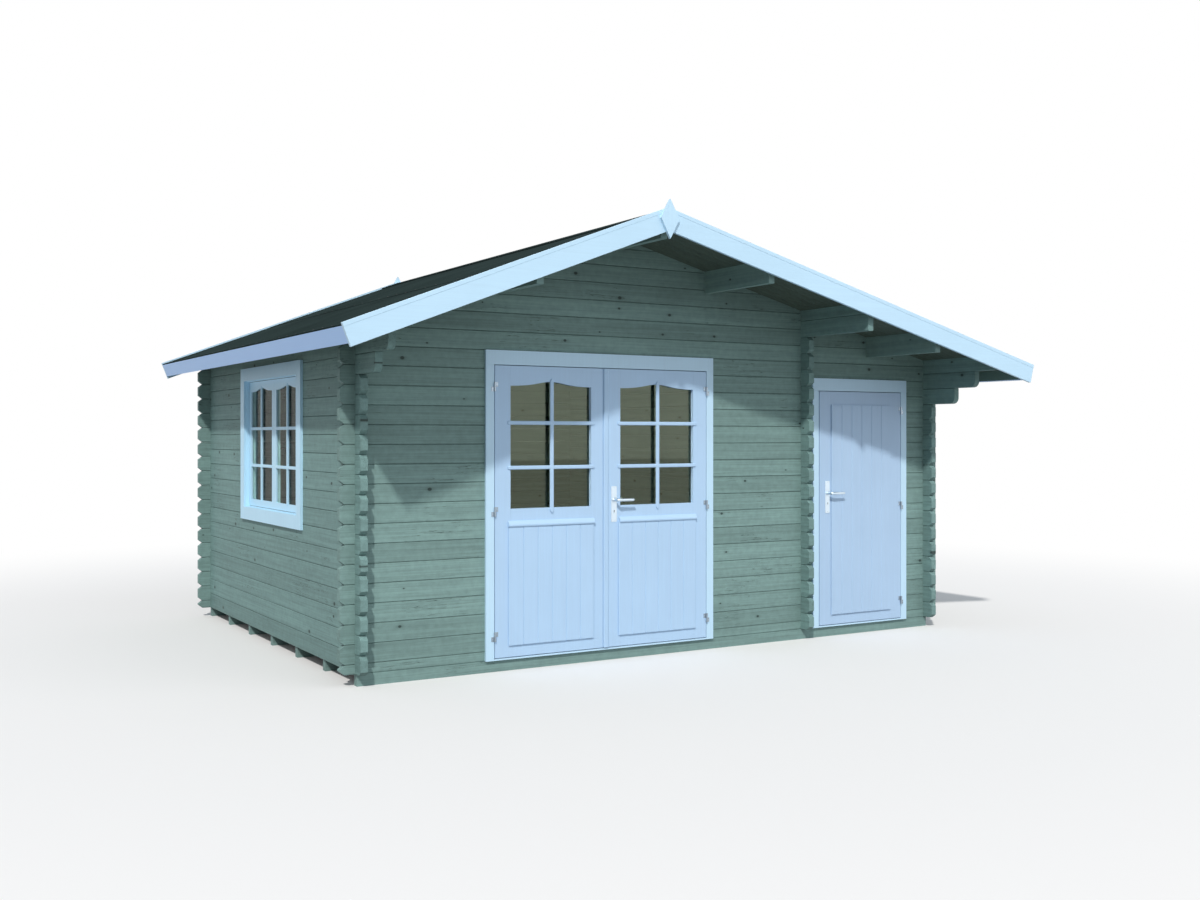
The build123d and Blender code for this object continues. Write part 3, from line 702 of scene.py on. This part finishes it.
# Weather moulding over the boarded panel of each glazed leaf
drip_section = [
    (-0.0004, 0.034),
    (0.005, 0.034),
    (0.013, 0.022),
    (0.019, 0.011),
    (0.019, 0.003),
    (0.016, -0.002),
    (-0.0004, -0.002),
]
drip_reach = 0.019
drip_reach_at_strip = 0.0115


def drip_moulding(leaf, left_reach):
    low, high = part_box(leaf + "_panel")
    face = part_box(leaf + "_frame")[0].y
    level = high.z - rebate
    left = low.x + double_panel_lap - left_reach
    right = high.x - double_panel_lap + drip_reach
    bm = bmesh.new()

    def at(out, up, along):
        return (along, face - out, level + up)

    extrude(bm, drip_section, at, left, right)
    add_piece(leaf + "_weather_moulding", bm, leaf_along, leaf, smooth_angle=25)


drip_moulding("left_leaf", drip_reach)
drip_moulding("right_leaf", drip_reach_at_strip)

# Strip over the joint of the double door, its front edges cut
strip_cut = 0.0065
lip_width = 0.006
lip_setback = 0.0015
lip_depth = 0.006


def meeting_strip():
    low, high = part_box("meeting_strip")
    half = (high.x - low.x) / 2
    middle = (low.x + high.x) / 2
    bm = bmesh.new()

    def at(a, b, t):
        return (middle + a, high.y - b, t)

    extrude(bm, chamfered(half, 0.0, high.y - low.y, strip_cut), at, low.z, high.z)
    add_piece("meeting_strip_shaped", bm, leaf_up, "right_leaf", replaced=("meeting_strip",))


def meeting_lip():
    """A lip on the left leaf's edge, that half fills the joint."""
    low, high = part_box("left_leaf_frame")
    front = low.y + lip_setback
    bm = bmesh.new()

    def at(a, b, t):
        return (high.x + a, front + b, t)

    outline = [(hair, 0.0), (lip_width - lip_setback, 0.0), (lip_width, lip_setback)]
    outline += [(lip_width, lip_depth), (hair, lip_depth)]
    extrude(bm, outline, at, low.z, high.z)
    add_piece("left_leaf_lip", bm, leaf_up, "left_leaf")


meeting_strip()
meeting_lip()

# Glazing bars: a cap on the frame's face, and a body behind it. In the window it goes down to the pane
grille_depth = 0.006
pane_clear = 0.0003
bar_overlap = 0.021
foot_overlap = 0.03
crown_overlap = 0.02
sash_bar_overlap = 0.012
door_bar_levels = (1.236, 1.510)
window_bar_levels = (1.220, 1.481)
foot_tip_share = 0.35
crown_tip_share = 0.2
cross_share = 0.93
cross_setback = 0.0008
cross_end = 0.006
cross_end_share = 0.55
cross_end_proud = 0.6
cross_clear = 0.0006
upright_sink = 0.0005
cross_sink = 0.0004

# Half a bar's cap, half its body, how proud it is, and its cut edge
Bar = namedtuple("Bar", "half body_half proud cut")
door_bar = Bar(half=0.0128, body_half=0.0088, proud=0.009, cut=0.004)
sash_bar = Bar(half=0.0115, body_half=0.009, proud=0.0035, cut=0.002)


def bar_body(bar, depth, sink):
    half = bar.body_half
    return [(-half, -depth), (half, -depth), (half, sink), (-half, sink)]


def upright_bar(bm, at, bar, u, low, high, depth, body_low, body_high):
    """A bar up the middle, its cap's two ends cut to a point."""
    section = chamfered(bar.half, 0.0, bar.proud, bar.cut)
    tip = bar.half
    levels = ((low, foot_tip_share), (low + tip, 1.0), (high - tip, 1.0), (high, crown_tip_share))
    loft(bm, [[at(u + share * a, level, b) for a, b in section] for level, share in levels])

    def body_at(a, b, level):
        return at(u + a, level, b)

    extrude(bm, bar_body(bar, depth, upright_sink), body_at, body_low, body_high)


def cross_bar(bm, at, bar, level, left, right, depth, body_left, body_right):
    """A bar across, its cap a little lower than the upright's and thinner at both ends."""
    section = chamfered(bar.half * cross_share, 0.0, bar.proud - cross_setback, bar.cut)
    rings = []
    for u, share in (
        (left, cross_end_share), (left + cross_end, 1.0), (right - cross_end, 1.0), (right, cross_end_share)
    ):
        proud = cross_end_proud + (1 - cross_end_proud) * share
        rings.append([at(u, level + share * a, b * proud) for a, b in section])
    loft(bm, rings)

    def body_at(a, b, u):
        return at(u, level + a, b)

    extrude(bm, bar_body(bar, depth - cross_clear, cross_sink), body_at, body_left, body_right)


def leaf_bars(body):
    """A grille on the face of a glazed leaf."""
    pane_low, pane_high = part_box(body + "_glass")
    at = front_face(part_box(body + "_frame")[0].y)
    left = pane_low.x + rebate
    right = pane_high.x - rebate
    foot = pane_low.z + rebate
    crown = pane_high.z - rebate
    middle = (left + right) / 2
    bm = bmesh.new()
    ends = (foot - foot_overlap, crown + crown_overlap)
    upright_bar(bm, at, door_bar, middle, *ends, grille_depth, foot, crown)
    for level in door_bar_levels:
        ends = (left - bar_overlap, right + bar_overlap)
        cross_bar(bm, at, door_bar, level, *ends, grille_depth, left, right)
    add_piece(body + "_glazing_bars", bm, leaf_up, body)


leaf_bars("left_leaf")
leaf_bars("right_leaf")


def sash_bars():
    """Bars of the two casements, on the left wall."""
    sash_low, sash_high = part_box("window_sashes")
    pane_low, pane_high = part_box("window_glass")
    at = left_face(sash_low.x)
    depth = pane_low.x - sash_low.x - pane_clear
    foot = pane_low.z + rebate
    crown = pane_high.z - rebate
    middle = -(sash_low.y + sash_high.y) / 2
    half = (sash_high.y - sash_low.y) / 2
    bm = bmesh.new()
    for inner, outer in ((-sash_gap / 2, -half), (sash_gap / 2, half)):
        way = math.copysign(1.0, outer)
        edges = sorted((middle + inner + way * sash_stile, middle + outer - way * sash_stile))
        ends = (foot - sash_bar_overlap, crown + sash_bar_overlap)
        upright_bar(bm, at, sash_bar, sum(edges) / 2, *ends, depth, foot, crown)
        for level in window_bar_levels:
            ends = (edges[0] - sash_bar_overlap, edges[1] + sash_bar_overlap)
            cross_bar(bm, at, sash_bar, level, *ends, depth, *edges)
    # The bars take the bluer copy of the trim paint, a painted light
    add_piece("window_glazing_bars", bm, paint_side_lit, "cabin")


sash_bars()


# Strips along the top edges of the bargeboards
def slope_point(side, along, up):
    pitch = pitches[side]
    across = along * math.cos(pitch) + up * math.sin(pitch)
    return ridge_x + outward[side] * across, ridge_underside - along * math.sin(pitch) + up * math.cos(pitch)


def down_slope(bm, side, section, end):
    """Draw a section of (y, up) points from the ridge, where it is cut upright, down to an end."""
    rings = []
    for at_ridge in (True, False):
        ring = []
        for y, up in section:
            x, z = slope_point(side, -up * math.tan(pitches[side]) if at_ridge else end, up)
            ring.append((x, y, z))
        rings.append(ring)
    loft(bm, rings)


def slope_length(box, side, up):
    """How far a node reaches down the slope, with its end square to it and its top so far up."""
    low, high = box
    return (high.x - low.x - up * math.sin(pitches[side])) / math.cos(pitches[side])


cap_height = 0.024
cap_proud = 0.0015


def barge_cap(node, side, face, way):
    bm = bmesh.new()
    section = [
        (face, barge_rise - cap_height),
        (face + way * cap_proud, barge_rise - cap_height + cap_proud),
        (face + way * cap_proud, barge_rise - cap_proud),
        (face, barge_rise),
    ]
    down_slope(bm, side, section, slope_length(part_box(node), side, barge_rise))
    add_piece(node + "_cap", bm, paint_along, "cabin")


for side in pitches:
    front = "front_bargeboard_" + side
    rear = "back_bargeboard_" + side
    barge_cap(front, side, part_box(front)[0].y, -1)
    barge_cap(rear, side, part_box(rear)[1].y, 1)

# Roof boards, seen from below, with a groove at each joint
roof_board_width = 0.0895
roof_groove = 0.0035


def roof_boards(side):
    node = "roof_boards_" + side
    low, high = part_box(node)
    end = slope_length((low, high), side, roof_board)
    count = round((high.y - low.y) / roof_board_width)
    width = (high.y - low.y) / count
    bm = bmesh.new()
    for near, far in split(low.y, high.y, count):
        section = grooved(near, far, 0.0, roof_groove)
        section += [(far - hair, roof_board), (near + hair, roof_board)]
        down_slope(bm, side, section, end)
    # Painted shade: the roof boards take the darkened soffit colour
    looks = (soffit_shade, stain_dark, stain_contrast)
    material = plank_material("roof_board_shaded_stain_" + side, "x", "y", looks, width, low.y)
    add_piece(node + "_planks", bm, material, "cabin", replaced=(node,))


for side in pitches:
    roof_boards(side)

# Felt: sheets laid up the slope, each over the one below, nailed along its lower edge
sheet_width = 0.92
sheet_lap = 0.08
sheet_least = 0.3
sheet_step = 0.0032
sheet_rows = 56
sheet_margin = 0.002
eave_margin = 0.001
sheet_foot = 0.0002
sheet_head = 0.0003
lift_wave = 0.0006
lift_turn = 5.0
nail_spacing = 0.15
nail_inset = 0.028
nail_side = 0.06
nail_seat = 0.0004
nail_radius = 0.0055
nail_height = 0.0014
nail_cut = 0.0005
nail_sides = 10

# Waves of a sheet's lower edge: height, turn along the edge, and turn from row to row
edge_waves = ((0.0016, 3.1, 1.7), (0.0009, 11.3, 0.6))


def felt_wave(y, row):
    return sum(size * math.sin(turn * y + shift * row) for size, turn, shift in edge_waves)


def felt_sheet(bm, side, row, lower, start, end):
    """One sheet: a thin wedge, from its wavy lower edge up to where the next sheet covers it."""
    upper = max(0.0, lower - sheet_width - sheet_lap)
    tops = []
    feet = []
    heads = []
    for k in range(sheet_rows + 1):
        y = start + (end - start) * k / sheet_rows
        wavy = lower + (felt_wave(y, row) if row else 0.0)
        lift = sheet_step + lift_wave * math.sin(lift_turn * y + row)
        for corners, along, up in ((tops, wavy, lift), (feet, wavy, sheet_foot), (heads, upper, sheet_head)):
            x, z = slope_point(side, along, felt_top + up)
            corners.append(bm.verts.new((x, y, z)))
    for k in range(sheet_rows):
        bm.faces.new((tops[k], tops[k + 1], heads[k + 1], heads[k]))
        bm.faces.new((feet[k + 1], feet[k], heads[k], heads[k + 1]))
        bm.faces.new((feet[k], feet[k + 1], tops[k + 1], tops[k]))
    for k in (0, sheet_rows):
        bm.faces.new((feet[k], tops[k], heads[k]))


def felt_nails(nails, side, along, start, end, count):
    rise = sheet_step * (1 - nail_inset / sheet_width) + nail_seat
    for k in range(count):
        y = start + k * (end - start) / (count - 1)

        def nail_at(a, b, out):
            x, z = slope_point(side, along + a, felt_top + rise + out)
            return (x, y + b, z)

        disc(nails, nail_at, nail_radius, nail_height, nail_cut, nail_sides)


def felt_sheets(side):
    node = "roofing_" + side
    low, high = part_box(node)
    lower = slope_length((low, high), side, felt_top) - eave_margin
    count = int((high.y - low.y) / nail_spacing)
    bm = bmesh.new()
    nails = bmesh.new()
    row = 0
    while lower > sheet_least:
        felt_sheet(bm, side, row, lower, low.y + sheet_margin, high.y - sheet_margin)
        felt_nails(nails, side, lower - nail_inset, low.y + nail_side, high.y - nail_side, count)
        lower -= sheet_width
        row += 1
    add_piece(node + "_sheets", bm, felt, "cabin", smooth_angle=25)
    add_piece(node + "_nails", nails, dark, "cabin", smooth_angle=40)


for side in pitches:
    felt_sheets(side)

ridge_strip_reach = 0.16
ridge_strip_bend = 0.03
ridge_strip_rise = 0.0075
ridge_strip_seat = 0.001


def ridge_strip():
    """A strip of felt bent over the ridge."""
    low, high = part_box("roofing_left")
    places = [("left", ridge_strip_reach), ("left", ridge_strip_bend)]
    places += [("right", ridge_strip_bend), ("right", ridge_strip_reach)]
    upper = [slope_point(side, reach, felt_top + ridge_strip_rise) for side, reach in places]
    lower = [slope_point(side, reach, felt_top + ridge_strip_seat) for side, reach in places]
    outline = upper + list(reversed(lower))
    bm = bmesh.new()
    loft(bm, [[(x, y, z) for x, z in outline] for y in (low.y + sheet_margin, high.y - sheet_margin)])
    add_piece("ridge_felt_strip", bm, felt, "cabin", smooth_angle=20)


ridge_strip()

# Floor boards, from front to back
floor_board_width = 0.114
floor_groove = 0.0025
floor_gap = 0.002


def floor_boards():
    low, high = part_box("floor_boards")
    partition_low, partition_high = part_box("partition_wall")
    rooms = [(low.x, partition_low.x - floor_gap), (partition_high.x + floor_gap, high.x)]
    bm = bmesh.new()

    def at(a, b, t):
        return (a, t, b)

    for left, right in rooms:
        count = round((right - left) / floor_board_width)
        for start, end in split(left, right, count):
            outline = [(start + hair, low.z), (end - hair, low.z)]
            outline += grooved(start, end, high.z, -floor_groove)[::-1]
            extrude(bm, outline, at, low.y, high.y)
    looks = (floor_brown, pine_knot, pine_contrast)
    material = plank_material("floor_pine", "y", "x", looks, floor_board_width, low.x)
    add_piece("floor_planks", bm, material, "cabin", replaced=("floor_boards",))


floor_boards()

# Screws with one slot, in plates and hinges
screw_sides = 14

# A screw head's radius, height and cut edge, and its slot's half length, half width and levels
Screw = namedtuple("Screw", "radius height cut slot_half slot_thin slot_low slot_high")
plate_screw = Screw(
    radius=0.0036, height=0.0012, cut=0.0005,
    slot_half=0.0026, slot_thin=0.0005, slot_low=0.0008, slot_high=0.0014,
)
hinge_screw = Screw(
    radius=0.0034, height=0.0009, cut=0.0004,
    slot_half=0.0024, slot_thin=0.0004, slot_low=0.0005, slot_high=0.0011,
)


def add_screw(screw, heads, slots, at, upright):
    disc(heads, at, screw.radius, screw.height, screw.cut, screw_sides)
    wide = screw.slot_thin if upright else screw.slot_half
    high = screw.slot_half if upright else screw.slot_thin
    slot = [(-wide, -high), (wide, -high), (wide, high), (-wide, high)]
    # Painted shade: a dark block stands in for the slot's hollow
    extrude(slots, slot, at, screw.slot_low, screw.slot_high)


# Door furniture: long plates with rounded corners, a lever on each side and a lock below it
plate_cut = 0.0012
plate_corner = 0.007
plate_screw_inset = 0.012
plate_screw_seat = 0.0004
fitting_seat = 0.0005
rose_radius = 0.0125
rose_height = 0.007
rose_cut = 0.0015
rose_sides = 24
lock_drop = 0.07
lock_radius = 0.0085
lock_foot = 0.017
lock_half = 0.005
lock_proud = 0.0022
lock_points = 18
keyhole = [(-0.0012, -0.011), (0.0012, -0.011), (0.0026, 0.004), (-0.0026, 0.004)]
keyhole_depth = 0.001
keyhole_proud = 0.0003


def plate_outline(half_width, low, high, radius, count=6):
    """Outline of an upright plate with rounded corners."""
    side = half_width - radius
    corners = ((side, high - radius), (-side, high - radius), (-side, low + radius), (side, low + radius))
    points = []
    for quarter, (across, up) in enumerate(corners):
        for k in range(count + 1):
            angle = math.pi / 2 * (quarter + k / count)
            points.append((across + radius * math.cos(angle), up + radius * math.sin(angle)))
    return points


def plate(bm, at, half, low, high, corner, thick, edge_cut):
    """A flat plate with its front edge cut. at(a, b, out) places its points."""
    rings = []
    for inset, out in ((0.0, 0.0), (0.0, thick - edge_cut), (edge_cut, thick)):
        outline = plate_outline(half - inset, low + inset, high - inset, corner - inset)
        rings.append([at(a, b, out) for a, b in outline])
    loft(bm, rings)


def lock_outline():
    """A round barrel over a narrower foot."""
    points = []
    start = math.asin(lock_half / lock_radius)
    for k in range(lock_points + 1):
        angle = -math.pi / 2 + start + (2 * math.pi - 2 * start) * k / lock_points
        points.append((lock_radius * math.cos(angle), lock_radius * math.sin(angle)))
    return points + [(-lock_half, -lock_foot), (lock_half, -lock_foot)]


def handle_plates(leaf):
    node = leaf + "_handle_plates"
    low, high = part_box(node)
    leaf_low, leaf_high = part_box(leaf + "_frame")
    half = (high.x - low.x) / 2
    thick = leaf_low.y - low.y
    plates = bmesh.new()
    slots = bmesh.new()
    for face in (front_face(leaf_low.y), back_face(leaf_high.y)):

        def at(a, b, out):
            return face(spindle_places[leaf] + a, b, out)

        def rose_at(a, b, out):
            return at(a, spindle_level + b, thick - fitting_seat + out)

        def lock_at(a, b, out):
            return rose_at(a, b - lock_drop, out)

        plate(plates, at, half, low.z, high.z, plate_corner, thick, plate_cut)
        disc(plates, rose_at, rose_radius, rose_height, rose_cut, rose_sides)
        extrude(plates, lock_outline(), lock_at, 0.0, lock_proud)
        # Painted shade: a dark block stands in for the keyhole's hollow
        extrude(slots, keyhole, lock_at, lock_proud - keyhole_depth, lock_proud + keyhole_proud)
        for level in (low.z + plate_screw_inset, high.z - plate_screw_inset):

            def screw_at(a, b, out):
                return at(a, level + b, thick - plate_screw_seat + out)

            add_screw(plate_screw, plates, slots, screw_at, False)
    add_piece(node + "_shaped", plates, steel, leaf, smooth_angle=40, replaced=(node,))
    add_piece(node + "_slots", slots, dark, leaf)


lever_sides = 18
lever_points = 14
lever_bend = 0.017
lever_bend_points = 5
lever_inset = 0.0104
lever_tip_clear = 0.001
lever_half = 0.0098
lever_taper_up = 0.001
lever_taper_out = 0.0038
lever_taper_rate = 2.2
lever_tip_round = 0.006
lever_tip_least = 0.04
spindle_radius = 0.0048
spindle_sides = 12
spindle_sink = 0.002


def lever_path(start_y, way, reach, length):
    """Out from the plate, round a bend, and along to the lever's tip."""
    straight = reach - lever_bend
    points = [(0.0, start_y + way * straight * share) for share in (0.0, 0.5, 1.0)]
    for k in range(1, lever_bend_points + 1):
        angle = math.pi / 2 * k / lever_bend_points
        out = straight + lever_bend * math.sin(angle)
        points.append((lever_bend * (1 - math.cos(angle)), start_y + way * out))
    last_x = points[-1][0]
    for k in range(1, lever_points + 1):
        points.append((last_x + (length - last_x) * k / lever_points, start_y + way * reach))
    return points


def lever_halves(x, length):
    """Half the lever's height and depth, tapered along it and rounded off at its tip."""
    run = max(0.0, min(1.0, x / length))
    half_up = lever_half - lever_taper_up * run
    half_out = lever_half - lever_taper_out * min(1.0, run * lever_taper_rate)
    left = min(1.0, (length - x) / lever_tip_round)
    round_off = math.sqrt(max(lever_tip_least, 1 - (1 - left) ** 2))
    return half_up * round_off, half_out * round_off


def lever_piece(leaf, body):
    node = leaf + "_lever"
    spindle_x = spindle_places[leaf]
    low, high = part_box(node)
    plates_low, plates_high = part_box(leaf + "_handle_plates")
    length = high.x - spindle_x - lever_tip_clear
    bm = bmesh.new()
    for start, way, limit in ((plates_low.y, -1, low.y), (plates_high.y, 1, high.y)):
        path = lever_path(start, way, abs(limit - start) - lever_inset, length)
        rings = []
        for i, (x, y) in enumerate(path):
            before = path[max(0, i - 1)]
            after = path[min(len(path) - 1, i + 1)]
            tangent = Vector((after[0] - before[0], after[1] - before[1], 0)).normalized()
            side = Vector((-tangent.y, tangent.x, 0))
            half_up, half_out = lever_halves(x, length)
            centre = Vector((spindle_x + x, y, spindle_level))
            ring = []
            for a, b in circle(1.0, lever_sides):
                ring.append(centre + side * (a * half_out) + Vector((0, 0, b * half_up)))
            rings.append(ring)
        loft(bm, rings)

    def rod_at(a, b, t):
        return (spindle_x + a, t, spindle_level + b)

    rod = circle(spindle_radius, spindle_sides)
    extrude(bm, rod, rod_at, plates_low.y - spindle_sink, plates_high.y + spindle_sink)
    add_piece(node + "_shaped", bm, steel, body, smooth_angle=50, replaced=(node,))


for leaf, body in (("right_leaf", "double_door_lever"), ("store_leaf", "store_door_lever")):
    handle_plates(leaf)
    lever_piece(leaf, body)

# Screws in the hinges' flaps
door_gap = 0.005
hinge_end_inset = 0.130
hinge_knuckle = 0.028
hinge_flap = 0.003
hinge_screw_seat = 0.0004
screw_reach = 0.0145
screw_rise = 0.0075


def flap_screws(heads, slots, at, x, level):
    """Two screws in one flap, the second's slot upright."""
    for rise, upright in ((-screw_rise, False), (screw_rise, True)):

        def screw_at(a, b, out):
            return at(x + a, level + rise + b, hinge_flap - hinge_screw_seat + out)

        add_screw(hinge_screw, heads, slots, screw_at, upright)


def add_hinge_screws(owner, body, heads, slots):
    add_piece(owner + "_hinge_screws", heads, zinc, body, smooth_angle=40)
    add_piece(owner + "_hinge_screw_slots", slots, dark, body)


def hinge_screws():
    casing_heads = bmesh.new()
    casing_slots = bmesh.new()
    for leaf, way in (("left_leaf", -1), ("right_leaf", 1), ("store_leaf", 1)):
        low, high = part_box(leaf + "_frame")
        at = front_face(low.y)
        axis = (low.x if way < 0 else high.x) + way * door_gap / 2
        first = low.z + hinge_end_inset
        last = high.z - hinge_end_inset
        heads = bmesh.new()
        slots = bmesh.new()
        for level in (first, (first + last) / 2, last):
            flap_screws(casing_heads, casing_slots, at, axis + way * screw_reach, level - hinge_knuckle / 2)
            flap_screws(heads, slots, at, axis - way * screw_reach, level + hinge_knuckle / 2)
        add_hinge_screws(leaf, leaf, heads, slots)
    add_hinge_screws("casing", "cabin", casing_heads, casing_slots)


hinge_screws()

# Dark seal in the gap round the casements: a seal, and painted shade in the gap
seal_setback = 0.003
seal_share = 0.9


def window_seal_and_gap_shade():
    low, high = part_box("window_sashes")
    face = low.x + seal_setback
    back = face + seal_setback
    gap = sash_gap * seal_share
    bm = bmesh.new()
    rings = []
    for x, reach in ((face, hair), (face, gap), (back, gap), (back, hair)):
        near = low.y - reach
        far = high.y + reach
        foot = low.z - reach
        head = high.z + reach
        rings.append([(x, near, foot), (x, far, foot), (x, far, head), (x, near, head)])
    loft(bm, rings, closed=True)
    add_piece("window_seal_and_gap_shade", bm, dark, "cabin")


window_seal_and_gap_shade()

# Catch on the inner side of the window's far casement, over the near one
catch_level = 1.345
catch_plate_half = 0.011
catch_corner = 0.01
catch_plate_rise = 0.032
catch_plate_thick = 0.003
catch_cut = 0.001
catch_neck = 0.008
catch_neck_sides = 18
catch_sides = 16
catch_reach = 0.026
catch_length = 0.095
catch_half = 0.0065

# The catch's bar: shares of its length, and of its half width there
catch_profile = ((-0.12, 0.5), (-0.08, 1.0), (0.4, 0.92), (0.9, 0.85), (0.97, 0.75), (1.0, 0.4))


def window_catch():
    sash_low, sash_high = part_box("window_sashes")
    inner = sash_high.x
    place = (sash_low.y + sash_high.y) / 2 + sash_gap / 2 + sash_stile / 2
    bm = bmesh.new()

    def at(a, b, out):
        return (inner + out, place - a, catch_level + b)

    rise = catch_plate_rise
    plate(bm, at, catch_plate_half, -rise, rise, catch_corner, catch_plate_thick, catch_cut)

    def neck_at(a, b, out):
        return at(a, b, catch_plate_thick - catch_cut / 2 + out)

    disc(bm, neck_at, catch_neck, catch_reach - catch_plate_thick, catch_cut, catch_neck_sides)
    rings = []
    for share, size in catch_profile:
        section = circle(catch_half * size, catch_sides)
        rings.append([at(catch_length * share, b, catch_reach + a) for a, b in section])
    loft(bm, rings)
    add_piece("window_catch", bm, dark, "cabin", smooth_angle=40)


window_catch()


# Studio
def make_camera():
    data = bpy.data.cameras.new("camera")
    data.sensor_width = camera_sensor
    data.lens = camera_lens
    data.shift_y = camera_shift_y
    camera = set_in_scene("camera", data)
    camera.location = camera_place
    camera.rotation_euler = (math.radians(90), 0, -camera_turn)
    bpy.context.scene.camera = camera


def make_lamp(name, way, power, softness, colour):
    data = bpy.data.lights.new(name, "SUN")
    data.energy = power
    data.angle = softness
    data.color = colour
    lamp = set_in_scene(name, data)
    lamp.rotation_euler = Vector(way).to_track_quat("-Z", "Y").to_euler()


def seen_directly(tree):
    """1 for rays from the camera, mirrors and glass, and 0 for light on surfaces."""
    path = put(tree, "ShaderNodeLightPath").outputs
    either = sum_of(tree, "MAXIMUM", path["Is Camera Ray"], path["Is Glossy Ray"])
    return sum_of(tree, "MAXIMUM", either, path["Is Transmission Ray"])


def make_world():
    world = bpy.data.worlds.new("studio")
    bpy.context.scene.world = world
    world.use_nodes = True
    tree = world.node_tree
    fill = tree.nodes["Background"]
    fill_in(tree, fill, {"Color": fill_colour, "Strength": fill_power})
    white = put(tree, "ShaderNodeBackground", {"Color": (1, 1, 1, 1), "Strength": 1.0})
    surface_mix(tree, seen_directly(tree), fill, white)


def make_floor():
    mesh = bpy.data.meshes.new("floor")
    corners = [(-1, -1), (1, -1), (1, 1), (-1, 1)]
    mesh.from_pydata([(x * floor_size, y * floor_size, 0) for x, y in corners], [], [(0, 1, 2, 3)])
    floor = set_in_scene("floor", mesh)
    material, tree, shader, place = new_material("floor")
    seen = seen_directly(tree)
    shade = mixed(tree, seen, floor_bounce, floor_colour)
    fill_in(tree, shader, {"Base Color": shade, "Roughness": 1.0, "Specular IOR Level": 0.0})
    far = length_of(tree, place)
    fade = scaled(tree, between(tree, far, floor_fade_start, floor_fade_end), seen)
    white = put(tree, "ShaderNodeEmission", {"Color": (1, 1, 1, 1), "Strength": 1.0})
    surface_mix(tree, fade, shader, white)
    mesh.materials.append(material)


make_camera()
make_lamp("key", key_way, key_power, key_softness, key_colour)
make_lamp("broad", broad_way, broad_power, broad_softness, broad_colour)
make_world()
make_floor()
bpy.context.scene.view_settings.view_transform = "Standard"
